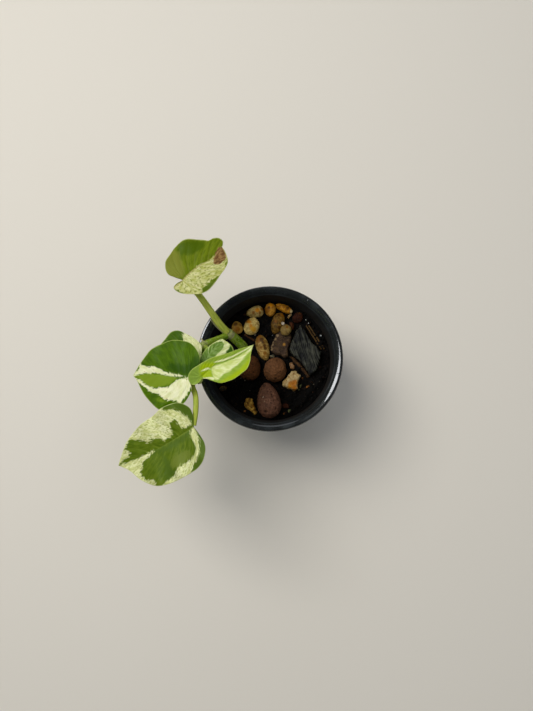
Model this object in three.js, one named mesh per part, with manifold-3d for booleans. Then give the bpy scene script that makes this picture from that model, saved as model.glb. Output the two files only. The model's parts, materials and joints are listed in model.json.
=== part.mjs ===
// A young variegated pothos in a 9 cm nursery pot, dressed with clay balls, pebbles and charcoal.
// Millimetres, +Z up. The origin is the middle of the pot's underside, +X and +Y lie in its plane.

import * as THREE from "three";
import { mergeVertices } from "three/addons/utils/BufferGeometryUtils.js";
import Module from "manifold-3d";

const wasm = await Module();
wasm.setup();

// Driving dimensions of the pot
const RIM_RADIUS = 45.8;
const POT_HEIGHT = 80;
const LIP_HALF_WIDTH = 2.4;
const LIP_RISE = 2.8;
const LIP_STEPS = 6;
const THROAT_STEP = 0.4;
const SKIRT_DEPTH = 9;
const SKIRT_FLARE = 0.3;
const WALL = 1;
const FLOOR = 1.2;
const BASE_RADIUS = 32.4;
const FOOT_CORNER = 0.8;
const FOOT_HEIGHT = 4;
const DRAIN_INSET = 2;
const DRAIN_SLOTS = 8;
const DRAIN_WIDTH = 7;
const DRAIN_HEIGHT = 4.5;
const DRAIN_DEPTH = 8;
const POT_SIDES = 48;

// Driving dimensions of the filling
const MIX_LEVEL = 64;
const MIX_SIDES = 36;
const MIX_RINGS = 7;
const MIX_SHOULDER = 4;
const MIX_EDGE_DROP = 0.8;
const GAP = 0.3;
const POCKET_GAP = 0.4;
const SIDE_GAP = 0.45;

// Driving dimensions of the plant
const STEM_SIDES = 10;
const BLADE = 0.65;
const BLADE_ROWS = 14;
const FAN_STEP = 2;
const BLADE_COLUMNS = [0, 0.14, 0.55, 1];
const ROW_BUNCHING = 1.1;
const CREASE = 2;
const STEEPEST = 1.9;
const SLOPE_STEP = 0.1;
const EDGE_WAVE = { fullReach: 12, most: 1.5, pitch: 0.42, leftShift: 0.6, rightShift: 2.4 };
const RIDGE = { share: 0.55, steps: 4, taper: 0.17, overlap: 0.15, sides: 8 };

// The inner wall's radius at a height
const innerRadius = (z) => {
  const top = RIM_RADIUS - 2 * LIP_HALF_WIDTH - THROAT_STEP;
  const low = BASE_RADIUS - WALL;
  return low + ((top - low) * (z - FLOOR)) / (POT_HEIGHT - FLOOR);
};

// Geometry and solids

function bare(geometry) {
  const plain = geometry.clone();
  plain.deleteAttribute("normal");
  plain.deleteAttribute("uv");
  return mergeVertices(plain, 1e-4);
}

function solidOf(geometry, matrix = new THREE.Matrix4()) {
  const closed = bare(geometry).applyMatrix4(matrix);
  return new wasm.Manifold(
    new wasm.Mesh({
      numProp: 3,
      vertProperties: closed.attributes.position.array,
      triVerts: new Uint32Array(closed.index.array),
    }),
  );
}

function geometryOf(solid) {
  const found = solid.getMesh();
  const geometry = new THREE.BufferGeometry();
  geometry.setAttribute("position", new THREE.BufferAttribute(found.vertProperties, 3));
  geometry.setIndex(new THREE.BufferAttribute(found.triVerts, 1));
  const faceted = geometry.toNonIndexed();
  faceted.computeVertexNormals();
  return faceted;
}

// A cut can leave a loose scrap, which is dropped.
function largest(solid) {
  return solid.decompose().sort((a, b) => b.volume() - a.volume())[0];
}

const part = new THREE.Group();

function place(name, geometry, look, position = [0, 0, 0], turn = [0, 0, 0]) {
  const material = new THREE.MeshStandardMaterial({ metalness: 0, ...look });
  const mesh = new THREE.Mesh(geometry, material);
  mesh.name = name;
  mesh.position.set(...position);
  mesh.rotation.set(...turn.map(THREE.MathUtils.degToRad), "ZYX");
  mesh.updateMatrixWorld(true);
  part.add(mesh);
  return mesh;
}

// A lathe turns about its own Y axis, so it is stood up along Z.
function turned(profile, sides) {
  const points = profile.map(([r, z]) => new THREE.Vector2(r, z));
  return new THREE.LatheGeometry(points, sides).rotateX(Math.PI / 2);
}

// A stalk of changing thickness: a closed cylinder whose rings are carried along a curve.
function stalk(route, radii, sides = STEM_SIDES, stepsPerPoint = 3, extra = 0) {
  const curve = new THREE.CatmullRomCurve3(route.map((p) => new THREE.Vector3(...p)));
  const steps = (route.length - 1) * stepsPerPoint;
  const frames = curve.computeFrenetFrames(steps);
  const geometry = bare(new THREE.CylinderGeometry(1, 1, 1, sides, steps));
  const position = geometry.attributes.position;
  for (let i = 0; i < position.count; i++) {
    const along = Math.round((0.5 - position.getY(i)) * steps);
    const share = (along / steps) * (radii.length - 1);
    const low = Math.min(Math.floor(share), radii.length - 2);
    const radius = THREE.MathUtils.lerp(radii[low], radii[low + 1], share - low) + extra;
    const point = curve
      .getPoint(along / steps)
      .addScaledVector(frames.normals[along], radius * position.getX(i))
      .addScaledVector(frames.binormals[along], radius * position.getZ(i));
    position.setXYZ(i, point.x, point.y, point.z);
  }
  return geometry;
}

// The pot

// The wall rises, rolls over as a half round lip of the wall's own thickness, and hangs down as a skirt.
function potSolid() {
  const lipFoot = POT_HEIGHT - LIP_RISE;
  const lipMiddle = RIM_RADIUS - LIP_HALF_WIDTH;
  const skirtEnd = POT_HEIGHT - SKIRT_DEPTH;
  const lip = (share, inset) => {
    const angle = Math.PI * share;
    return [
      lipMiddle + (LIP_HALF_WIDTH - inset) * Math.cos(angle),
      lipFoot + (LIP_RISE - inset) * Math.sin(angle),
    ];
  };
  const profile = [
    [0, 0],
    [BASE_RADIUS - FOOT_CORNER, 0],
    [BASE_RADIUS, FOOT_CORNER],
    [innerRadius(FOOT_HEIGHT) + WALL, FOOT_HEIGHT],
    [innerRadius(lipFoot - WALL) + WALL, lipFoot - WALL],
  ];
  for (let i = LIP_STEPS - 1; i >= 0; i--) profile.push(lip(i / LIP_STEPS, WALL));
  profile.push([RIM_RADIUS - SKIRT_FLARE - WALL, skirtEnd], [RIM_RADIUS - SKIRT_FLARE, skirtEnd]);
  for (let i = 0; i < LIP_STEPS; i++) profile.push(lip(i / LIP_STEPS, 0));
  profile.push([innerRadius(lipFoot), lipFoot], [innerRadius(FLOOR), FLOOR], [0, FLOOR]);
  let pot = solidOf(turned(profile, POT_SIDES));
  const slot = new THREE.BoxGeometry(DRAIN_DEPTH, DRAIN_WIDTH, 2 * DRAIN_HEIGHT);
  for (let i = 0; i < DRAIN_SLOTS; i++) {
    const turn = new THREE.Matrix4().makeRotationZ(((i + 0.5) / DRAIN_SLOTS) * 2 * Math.PI);
    turn.multiply(new THREE.Matrix4().makeTranslation(BASE_RADIUS - DRAIN_INSET, 0, 0));
    pot = pot.subtract(solidOf(slot, turn));
  }
  return pot;
}

place("pot", geometryOf(potSolid()), { color: 0x24282a, roughness: 0.42 });

// The vine: the rooted cutting, and the new shoot that leaves its joint and hangs over the rim

const CUTTING = [
  [-16.2, 7, 46],
  [-17.2, 8.3, 56],
  [-18.2, 9.4, 66],
  [-21.8, 12.7, 72],
  [-25.9, 15.6, 77],
];
const CUTTING_RADII = [3.1, 3.2, 3.3, 3.1, 2.9];
const SHOOT = [
  [-25.4, 15.2, 76.6],
  [-33.4, 10.9, 84],
  [-40.6, 6.3, 90.5],
  [-42.8, -0.5, 92.8],
  [-44.6, -7.5, 95.2],
  [-45.8, -13, 98],
  [-45.4, -16.6, 101.8],
];
const SHOOT_RADII = [2.2, 2.1, 2.3, 2, 2.1, 2, 1.7];
const JOINTS = [
  { at: [-16.2, 7, 46], size: [3.6, 3.6, 2.4] },
  { at: [-25.9, 15.6, 77], size: [3.3, 3.3, 3] },
  { at: [-40.6, 6.3, 90.5], size: [2.7, 2.9, 2.6] },
  { at: [-45.4, -16.6, 101.8], size: [2, 2, 2.1] },
];
const ROOT_NUBS = [
  [
    [-40.2, 6.8, 90],
    [-41, 9.4, 88.6],
    [-42.4, 11.6, 86.2],
  ],
  [
    [-40.8, 6, 89.6],
    [-43.2, 7.6, 87.4],
    [-45, 8.2, 85.4],
  ],
];

function knob(at, size, extra = 0) {
  const ball = new THREE.IcosahedronGeometry(1, 1);
  ball.scale(...size.map((half) => half + extra));
  return solidOf(ball.translate(...at));
}

function vineSolid(extra = 0) {
  let vine = solidOf(stalk(CUTTING, CUTTING_RADII, STEM_SIDES, 2, extra));
  vine = vine.add(solidOf(stalk(SHOOT, SHOOT_RADII, STEM_SIDES, 3, extra)));
  for (const { at, size } of JOINTS) vine = vine.add(knob(at, size, extra));
  for (const route of ROOT_NUBS) {
    vine = vine.add(solidOf(stalk(route, [0.9, 0.7, 0.45], 6, 2, extra)));
  }
  return vine;
}

place("vine", geometryOf(vineSolid()), { color: 0x5c7a33, roughness: 0.5 });

// The leaves. Each is laid out in its own plan: u runs from the petiole to the tip, v to the left of it.
// Its sides run from the notch at the petiole to the tip, and lobe is the point of a side where the
// lobe behind the petiole ends.

const LEAVES = {
  leaf_upper: {
    base: [-49, 41.1, 120],
    heading: 43.3,
    length: 30.3,
    form: { rise: -0.1, sag: 0.003, fold: 0.18, cup: 0.003, wave: 0.5, bow: -0.4, sway: 0.9 },
    left: {
      lobe: 4,
      points: [[-1.2, 2], [-2.5, 4.5], [-4, 8], [-3, 11.5], [0, 14.5], [4.5, 15.8], [9.5, 17.5],
        [14.5, 17.5], [18.5, 16], [22, 13], [25, 10.2], [27, 8], [30, 7.3], [32.5, 5.5], [33, 2.5]],
    },
    right: {
      lobe: 6,
      points: [[-2, 0.5], [-5, 1], [-7.2, 0], [-7, -3], [-5.5, -6], [-2.5, -9.5], [1.5, -13],
        [6.5, -14.5], [12.5, -14], [18.5, -12.2], [23, -11], [26.5, -9.2], [28.5, -6], [29.8, -2.5]],
    },
    petiole: [[-27.4, 16.8, 79.2], [-31.3, 20.9, 87], [-35.8, 27.2, 97], [-39.4, 32.2, 106],
      [-42.6, 36, 112.6], [-46, 39.2, 116.6], [-48.6, 41, 118.6]],
    petioleRadii: [2.5, 2.3, 2.1, 2, 1.9, 1.7, 1.3],
    color: 0x9fb35a,
  },
  leaf_under: {
    base: [-40.4, -0.5, 100],
    heading: -171.6,
    length: 34.3,
    form: { rise: -0.15, sag: 0.004, fold: 0.12, cup: 0.004, wave: 0.6, bow: -2.4, sway: 0 },
    left: {
      lobe: 1,
      points: [[0.3, 2], [3.5, 4.8], [10, 6.2], [17.5, 6], [25, 4.4], [30.5, 2]],
    },
    right: {
      lobe: 3,
      points: [[-0.5, -2.5], [-1, -5], [0, -7.5], [3, -11], [7.5, -14.5], [12, -17.2], [17, -17],
        [21.5, -13.4], [26.5, -9], [31, -4.5]],
    },
    petiole: [[-39.4, 5.8, 91.4], [-37.6, 4, 95], [-38, 1, 98.2], [-39.8, -0.2, 99]],
    petioleRadii: [1.5, 1.4, 1.3, 1],
    color: 0x5d8a2c,
  },
  leaf_broad: {
    base: [-45.6, -16.2, 113],
    heading: 173,
    length: 38.5,
    form: { rise: -0.45, sag: 0.005, fold: 0.1, cup: 0.008, tilt: -0.08, wave: 0.6, bow: -1.6, sway: 0 },
    left: {
      lobe: 4,
      points: [[-1, 2.5], [-2, 5], [-1, 9], [1.5, 13.5], [6.5, 17], [12, 19.3], [17.5, 18.8],
        [23.2, 15.7], [28.5, 11.2], [32, 7], [35.5, 2.5]],
    },
    right: {
      lobe: 4,
      points: [[-1.2, -2.5], [-3, -6.5], [-5, -12], [-3.2, -16.5], [0.5, -20.3], [5, -22.5],
        [11, -22.8], [17, -22], [22.7, -19.6], [28, -16], [31.5, -11.7], [34.7, -7], [37, -2.5]],
    },
    petiole: [[-46.6, -11, 97.4], [-49.6, -12.8, 101], [-49.2, -15.4, 107.5], [-46.4, -16.2, 111.7]],
    petioleRadii: [1.6, 1.5, 1.4, 1.2],
    color: 0x4c7d17,
  },
  leaf_young: {
    base: [-37.4, -15.1, 121],
    heading: 31.6,
    length: 34.5,
    form: { rise: 0.25, sag: 0.006, fold: 0.3, cup: 0, wave: 0.4, bow: -0.2, sway: 1.3 },
    left: {
      lobe: 6,
      points: [[-1.5, -1.5], [-5, -1.7], [-7.5, 0], [-7.5, 3], [-5.5, 5.5], [-2.5, 6.6], [1.5, 6.6],
        [6.5, 6.5], [11, 6], [16, 4.5], [21, 3.2], [26, 2.2], [30.5, 1.1]],
    },
    right: {
      lobe: 0,
      points: [[0, -1.2], [2.5, -2.8], [4.5, -3.8], [5.7, -6.5], [7.5, -9], [11, -10.2], [15, -11],
        [20, -10.6], [24.5, -9.8], [28, -7], [30.2, -4], [32.5, -1.6]],
    },
    petiole: [[-44, -13.6, 99.4], [-41.1, -16.4, 105.5], [-39.6, -17, 113], [-37.2, -15, 120.3]],
    petioleRadii: [1.7, 1.5, 1.3, 1],
    color: 0xb2c77a,
  },
  leaf_small: {
    base: [-40, -10.4, 107],
    heading: 57.9,
    length: 23.1,
    form: { rise: -0.1, sag: 0.004, fold: 0.12, cup: 0.004, wave: 0.3, bow: 1, sway: 0 },
    left: {
      lobe: 0,
      points: [[-1.5, 1.5], [1.5, 3.5], [5.5, 4.2], [9, 4.6], [13, 4.4], [16.8, 3.4], [20.5, 1.8]],
    },
    right: {
      lobe: 0,
      points: [[-1, -2], [3.5, -5.5], [9.5, -8.5], [15.5, -10.3], [20, -10], [22.4, -7.4], [23, -3.8]],
    },
    petiole: [[-43.4, -8, 95.4], [-39.6, -10.2, 97.6], [-37.6, -11.6, 102], [-39.2, -10.9, 105.8]],
    petioleRadii: [1.4, 1.3, 1.2, 0.9],
    color: 0x6f9440,
  },
  leaf_lower: {
    base: [-43.1, -43.2, 111.5],
    heading: -154.4,
    length: 53.2,
    form: { rise: -0.28, sag: 0.002, fold: 0.22, cup: 0.004, wave: 0.8, bow: 1.8, sway: 0 },
    left: {
      lobe: 4,
      points: [[-0.7, 2], [-1.7, 7], [-2, 11.5], [-0.5, 15.7], [3, 20], [8, 22.3], [14, 23.2],
        [21, 23.5], [28.5, 23], [35, 21.2], [39.5, 18], [43.5, 13], [47, 6.5], [50.5, 2.5]],
    },
    right: {
      lobe: 4,
      points: [[-0.9, -2.2], [-2.5, -6], [-3, -10.5], [-0.5, -14.5], [3, -17], [7, -18], [12, -18],
        [18, -16.8], [25.5, -15.6], [33.5, -13.8], [40.5, -10.5], [46, -6.5], [50.5, -2.6]],
    },
    petiole: [[-45.4, -16.4, 101.6], [-45.1, -19.2, 104.2], [-42.9, -24.5, 107], [-42.2, -30.4, 109],
      [-42.4, -36.2, 110.1], [-43, -42.4, 110.3]],
    petioleRadii: [1.9, 1.7, 1.6, 1.6, 1.6, 1.3],
    color: 0x7fa045,
  },
};

// The midrib's sideways bend at a place along the leaf
function ribOffset(leaf, u) {
  const along = THREE.MathUtils.clamp(u / leaf.length, 0, 1);
  return leaf.form.bow * Math.sin(Math.PI * along) + leaf.form.sway * Math.sin(2 * Math.PI * along);
}

// The blade's height over its base: it rises or droops to the tip, leans, folds at the midrib and waves
// at its edge.
function bladeHeight(leaf, u, v) {
  const { rise, sag, fold, cup, wave, tilt = 0 } = leaf.form;
  const across = v - ribOffset(leaf, u);
  const creased = Math.hypot(across, CREASE) - CREASE;
  const reach = Math.min(Math.abs(across) / EDGE_WAVE.fullReach, EDGE_WAVE.most);
  const shift = across > 0 ? EDGE_WAVE.leftShift : EDGE_WAVE.rightShift;
  const ripple = wave * reach * reach * Math.sin(EDGE_WAVE.pitch * u + shift);
  return rise * u - sag * u * u + fold * creased - cup * across * across + tilt * across + ripple;
}

// A side's edge, a smooth line through its points, at a place counted in points from the notch
function edgePoint(leaf, side, place) {
  const points = [...side.points, [leaf.length, 0]];
  const low = Math.min(Math.floor(place), points.length - 2);
  const at = (i) => points[THREE.MathUtils.clamp(i, 0, points.length - 1)];
  const t = place - low;
  const [a, b, c, d] = [at(low - 1), at(low), at(low + 1), at(low + 2)];
  return [0, 1].map((k) => {
    const cubic = 3 * (b[k] - c[k]) + d[k] - a[k];
    const square = 2 * a[k] - 5 * b[k] + 4 * c[k] - d[k];
    return b[k] + 0.5 * t * (c[k] - a[k] + t * (square + t * cubic));
  });
}

// Rows of plan points from midrib to edge: a fan about the petiole for the lobe, then rows along the midrib
function sideRows(leaf, side) {
  const rows = [];
  const last = side.points.length;
  for (let i = 0; i < side.lobe * FAN_STEP; i++) {
    rows.push([[0, 0], edgePoint(leaf, side, i / FAN_STEP)]);
  }
  for (let i = 0; i <= BLADE_ROWS; i++) {
    const share = i / BLADE_ROWS;
    const along = leaf.length * share ** ROW_BUNCHING;
    const start = [along, ribOffset(leaf, along)];
    rows.push([start, edgePoint(leaf, side, side.lobe + (last - side.lobe) * share)]);
  }
  return rows.map(([start, end]) =>
    BLADE_COLUMNS.map((s) => [start[0] + (end[0] - start[0]) * s, start[1] + (end[1] - start[1]) * s]),
  );
}

// The blade as a closed shell: the same triangles above and below, joined round the edge
function bladeGeometry(leaf) {
  const plan = [];
  const triangles = [];
  const rim = [];
  const key = new Map();
  const vertex = ([u, v]) => {
    const name = `${u.toFixed(3)},${v.toFixed(3)}`;
    if (!key.has(name)) {
      key.set(name, plan.length);
      plan.push([u, v]);
    }
    return key.get(name);
  };
  const triangle = (a, b, c) => {
    if (a !== b && b !== c && c !== a) triangles.push([a, b, c]);
  };
  for (const [side, flip] of [[leaf.left, false], [leaf.right, true]]) {
    const rows = sideRows(leaf, side).map((row) => row.map(vertex));
    rows.slice(1).forEach((row, i) => {
      for (let j = 1; j < row.length; j++) {
        const [a, b, c, d] = [rows[i][j - 1], row[j - 1], row[j], rows[i][j]];
        if (flip) {
          triangle(a, d, c);
          triangle(a, c, b);
        } else {
          triangle(a, b, c);
          triangle(a, c, d);
        }
      }
    });
  }
  const seen = new Set(triangles.flatMap(([a, b, c]) => [`${a},${b}`, `${b},${c}`, `${c},${a}`]));
  for (const edge of seen) {
    const [a, b] = edge.split(",").map(Number);
    if (!seen.has(`${b},${a}`)) rim.push([a, b]);
  }
  const angle = THREE.MathUtils.degToRad(leaf.heading);
  const positions = [];
  for (const half of [0.5, -0.5]) {
    for (const [u, v] of plan) {
      const riseU = bladeHeight(leaf, u + SLOPE_STEP, v) - bladeHeight(leaf, u - SLOPE_STEP, v);
      const riseV = bladeHeight(leaf, u, v + SLOPE_STEP) - bladeHeight(leaf, u, v - SLOPE_STEP);
      const steepness = Math.hypot(1, riseU / (2 * SLOPE_STEP), riseV / (2 * SLOPE_STEP));
      const stretch = Math.min(steepness, STEEPEST);
      positions.push(
        leaf.base[0] + u * Math.cos(angle) - v * Math.sin(angle),
        leaf.base[1] + u * Math.sin(angle) + v * Math.cos(angle),
        leaf.base[2] + bladeHeight(leaf, u, v) + half * BLADE * stretch,
      );
    }
  }
  const n = plan.length;
  const index = [];
  for (const [a, b, c] of triangles) index.push(a, b, c, n + a, n + c, n + b);
  for (const [a, b] of rim) index.push(a, n + a, n + b, a, n + b, b);
  const geometry = new THREE.BufferGeometry();
  geometry.setAttribute("position", new THREE.Float32BufferAttribute(positions, 3));
  geometry.setIndex(index);
  return geometry;
}

// The petiole's end goes on as the midrib's ridge under the blade.
function ridgeUnder(leaf) {
  const angle = THREE.MathUtils.degToRad(leaf.heading);
  const route = [];
  const radii = [];
  const thick = leaf.petioleRadii.at(-1);
  for (let i = 0; i <= RIDGE.steps; i++) {
    const u = (leaf.length * RIDGE.share * i) / RIDGE.steps;
    const v = ribOffset(leaf, u);
    const radius = thick * (1 - RIDGE.taper * i);
    route.push([
      leaf.base[0] + u * Math.cos(angle) - v * Math.sin(angle),
      leaf.base[1] + u * Math.sin(angle) + v * Math.cos(angle),
      leaf.base[2] + bladeHeight(leaf, u, v) - radius + RIDGE.overlap,
    ]);
    radii.push(radius);
  }
  return stalk(route, radii, RIDGE.sides, 1);
}

const vineClearance = vineSolid(GAP);
for (const [name, leaf] of Object.entries(LEAVES)) {
  let solid = solidOf(bladeGeometry(leaf));
  solid = solid.add(solidOf(stalk(leaf.petiole, leaf.petioleRadii, RIDGE.sides, 2)));
  solid = solid.add(solidOf(ridgeUnder(leaf)));
  solid = largest(solid.subtract(vineClearance));
  place(name, geometryOf(solid), { color: leaf.color, roughness: 0.45 });
}

// The top dressing. A stone is a ball drawn out to its half sizes, with shallow facets and hollows.

const mixRelief = (x, y) =>
  0.7 * Math.sin(0.31 * x + 1.3) * Math.cos(0.27 * y - 0.4) + 0.5 * Math.sin(0.62 * x - 0.53 * y);

function stoneGeometry({ half, rough = 0.06, taper = 0, seed = 0, detail = 1 }, grow = 0) {
  const geometry = bare(new THREE.IcosahedronGeometry(1, detail));
  const position = geometry.attributes.position;
  const point = new THREE.Vector3();
  for (let i = 0; i < position.count; i++) {
    point.fromBufferAttribute(position, i);
    const dent =
      Math.sin(2.3 * point.x + 1.7 * seed) * Math.cos(2.9 * point.y - seed) +
      0.6 * Math.sin(4.1 * point.z + 3.3 * point.x + 2.1 * seed);
    point.multiplyScalar(1 + rough * dent);
    const narrow = 1 - taper * point.x;
    position.setXYZ(
      i,
      point.x * (half[0] + grow),
      point.y * (half[1] + grow) * narrow,
      point.z * (half[2] + grow) * narrow,
    );
  }
  return geometry;
}

const middleOf = (corners) =>
  [0, 1].map((k) => corners.reduce((sum, corner) => sum + corner[k], 0) / corners.length);

// A slab or chip from a sharp outline, given by its corners and its thickness, with broken edges
function slabGeometry({ corners, thick, bevel }, grow = 0) {
  const middle = middleOf(corners);
  const outline = corners.map(([x, y]) => {
    const reach = Math.hypot(x - middle[0], y - middle[1]);
    const share = 1 - bevel / reach;
    return new THREE.Vector2(middle[0] + (x - middle[0]) * share, middle[1] + (y - middle[1]) * share);
  });
  const geometry = new THREE.ExtrudeGeometry(new THREE.Shape(outline), {
    depth: thick + 2 * grow - 2 * bevel,
    bevelThickness: bevel,
    bevelSize: bevel + grow,
    bevelSegments: 1,
  });
  return geometry.translate(0, 0, bevel - thick / 2 - grow);
}

// Colours of the dressing
const TAN = 0xa88a58;
const CREAM = 0xd9c79a;
const OCHRE = 0xb8813a;
const CLAY = 0x6f4c38;
const GREY = 0x8a7a70;
const BARK = 0x4a2a1c;
const STRAW = 0x8a6c48;

// Each stone has the middle of its plan, how far its middle stands over the mix, the turn of its long side,
// its half sizes, and the seed of its dents.
const STONES = {
  pebble_under_stem: { at: [-21.6, 21.2], lift: 0.6, turn: 100, half: [4.6, 3.7, 3.2], seed: 1, color: TAN },
  pebble_cream: { at: [-12.1, 22.1], lift: 1.4, turn: 75, half: [5.8, 5, 4.4], seed: 2, color: CREAM },
  pebble_grey: {
    at: [-9.8, 31.4], lift: 1, turn: 12, half: [5.9, 3.9, 3.2], taper: -0.18, seed: 3, color: TAN,
  },
  pebble_orange: { at: [-0.1, 33], lift: 1.2, turn: 95, half: [4.6, 3.5, 3.4], seed: 4, color: OCHRE },
  pebble_long: { at: [9, 33.6], lift: 1, turn: -28, half: [6, 2.7, 2.8], seed: 5, color: OCHRE },
  pebble_streaked: { at: [4.6, 24.2], lift: 1.1, turn: 71, half: [7.3, 4.1, 3.5], seed: 6, color: TAN },
  pebble_round: { at: [9.9, 18.9], lift: 5.9, turn: 0, half: [3.6, 3.5, 2.6], seed: 7, color: TAN },
  pebble_stained: { at: [-5.1, 8.5], lift: 1.3, turn: -73, half: [8.6, 4.2, 3.8], seed: 9, color: TAN },
  clay_ball_left: {
    at: [-13.4, -5.3], lift: 2.6, turn: 85, half: [8.5, 7.4, 6.8], rough: 0.05, seed: 10, detail: 2,
    color: CLAY,
  },
  clay_ball_right: {
    at: [3, -6.3], lift: 3, turn: 90, half: [7.9, 7.5, 7], rough: 0.03, seed: 11, detail: 2, color: CLAY,
  },
  clay_ball_large: {
    at: [-1.2, -26], lift: 3, turn: 99.5, half: [11.6, 7.5, 7], rough: 0.03, taper: 0.28, seed: 12, detail: 2,
    color: CLAY,
  },
  grey_chip: {
    at: [-30.6, -18], lift: 0.5, turn: 30, half: [2.6, 1.8, 1.5], rough: 0.12, seed: 13, color: GREY,
  },
  pink_chip: {
    at: [13.8, -3.6], lift: 0.8, turn: -70, half: [2.5, 1.5, 1.4], rough: 0.1, seed: 14, color: GREY,
  },
  perlite_grain: {
    at: [1.2, 2.8], lift: 0.7, turn: 0, half: [1.6, 1.1, 1.1], rough: 0.1, seed: 15, color: GREY,
  },
  quartz_grain: {
    at: [8.2, 23.2], lift: 5.6, turn: 0, half: [1.2, 1.2, 0.9], rough: 0.1, seed: 16, color: CREAM,
  },
  pale_grain: {
    at: [12.3, 28.9], lift: 0.8, turn: 50, half: [1.9, 1.1, 1.2], rough: 0.1, seed: 17, color: CREAM,
  },
  bark_chip_back: {
    at: [17.7, 27.4], lift: 0.8, turn: 60, half: [3.8, 3.3, 2.2], rough: 0.12, seed: 18, color: BARK,
  },
  bark_chip_side: {
    at: [13.8, 22.4], lift: 0.4, turn: -75, half: [3.4, 1.6, 1.6], rough: 0.1, seed: 19, color: BARK,
  },
  bark_chip_front: {
    at: [9.8, -29.6], lift: 0.6, turn: 10, half: [2.1, 1.8, 1.6], rough: 0.12, seed: 20, color: BARK,
  },
};

// Slabs and chips with corners: each has its corners in plan, its thickness and its tilt about X and Y.
const SLABS = {
  rough_stone: {
    corners: [[5.6, 18.3], [3, 14.8], [1.2, 10.6], [0.4, 7.8], [0.8, 5.3], [3.9, 3.2], [6.5, 3.1], [9.4, 1.5],
      [11, 2.3], [11.3, 8.1], [12.7, 11.6], [13.2, 14], [13, 17], [9.4, 19.2]],
    thick: 5.4, lift: 1.4, tilt: [-7, -3], bevel: 0.9, color: GREY,
  },
  charcoal: {
    corners: [[19.3, 21.1], [21.6, 19.2], [22.2, 17], [26.6, 10.5], [32.4, 4.8], [31.6, 0.9], [29, -6.6],
      [25.8, -9.4], [20.9, -2.9], [17.6, 0.6], [13.6, 4], [12.5, 6.4], [12.9, 9.6], [14.9, 13.6],
      [16.4, 18.3]],
    thick: 8.5, lift: 1.8, tilt: [3, 5], bevel: 0.7, color: 0x1f2420,
  },
  quartz_chip: {
    corners: [[14, -7.4], [15.7, -7.3], [18.8, -9.8], [17.6, -13.9], [16.8, -18.7], [15.4, -19.5],
      [10.6, -17.8], [7.8, -16.3], [7.8, -14.6], [10.3, -11.7], [12.2, -9.1]],
    thick: 5.4, lift: 1.2, tilt: [-6, 4], bevel: 0.9, color: CREAM,
  },
  tan_chip: {
    corners: [[-13.8, -24.2], [-15.7, -24.8], [-16.7, -28.8], [-14.7, -31.3], [-11.7, -32.8], [-9.7, -35],
      [-8.7, -33.6], [-10.6, -28.9], [-11.8, -25]],
    thick: 3.4, lift: 0.8, tilt: [4, -5], bevel: 0.6, color: TAN,
  },
  bark_sliver: {
    corners: [[12.4, 2.4], [13.6, 2.3], [17.2, -0.7], [20.6, -4.2], [25, -10.8], [24, -11.2], [19.4, -5.4],
      [15, -1.1]],
    thick: 1.8, lift: 0.3, tilt: [0, 0], bevel: 0.3, color: BARK,
  },
};

// Straws and a twig, each a thin rod between two places on the mix, arched a little
const ROD_SIDES = 6;
const ROD_ARCH = 0.3;
const RODS = {
  straw_inner: { from: [23, 22.4, 1.2], to: [32.7, 7, 0.8], radius: 0.5, color: STRAW },
  straw_outer: { from: [24.7, 22.6, 0.8], to: [34.6, 7.4, 0.6], radius: 0.5, color: STRAW },
  twig: { from: [-17, 17, 0.4], to: [-10.4, 12.8, 0.3], radius: 0.7, color: BARK },
};

const pockets = [];

function sinkIn(geometry, position, turn) {
  const angles = turn.map(THREE.MathUtils.degToRad);
  const matrix = new THREE.Matrix4().makeRotationFromEuler(new THREE.Euler(...angles, "ZYX"));
  pockets.push(solidOf(geometry, matrix.setPosition(...position)));
}

for (const [name, stone] of Object.entries(STONES)) {
  const [x, y] = stone.at;
  const position = [x, y, MIX_LEVEL + mixRelief(x, y) + stone.lift];
  const turn = [0, 0, stone.turn];
  place(name, stoneGeometry(stone), { color: stone.color, roughness: 0.75 }, position, turn);
  sinkIn(stoneGeometry(stone, POCKET_GAP), position, turn);
}

for (const [name, slab] of Object.entries(SLABS)) {
  const middle = middleOf(slab.corners);
  const local = { ...slab, corners: slab.corners.map(([x, y]) => [x - middle[0], y - middle[1]]) };
  const position = [...middle, MIX_LEVEL + mixRelief(...middle) + slab.lift];
  const turn = [...slab.tilt, 0];
  place(name, slabGeometry(local), { color: slab.color, roughness: 0.9 }, position, turn);
  sinkIn(slabGeometry(local, POCKET_GAP), position, turn);
}

for (const [name, rod] of Object.entries(RODS)) {
  const ends = [rod.from, rod.to].map(([x, y, lift]) => [x, y, MIX_LEVEL + mixRelief(x, y) + lift]);
  const middle = ends[0].map((value, k) => (value + ends[1][k]) / 2 + (k === 2 ? ROD_ARCH : 0));
  const route = [ends[0], middle, ends[1]];
  const radii = [rod.radius, rod.radius, rod.radius];
  place(name, stalk(route, radii, ROD_SIDES, 2), { color: rod.color, roughness: 0.8 });
  pockets.push(solidOf(stalk(route, radii, ROD_SIDES, 2, POCKET_GAP)));
  for (const end of ends) pockets.push(knob(end, radii, POCKET_GAP));
}

// The potting mix fills the pot, with a pocket for all that is sunk in it and a plain hole for the vine.

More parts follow.
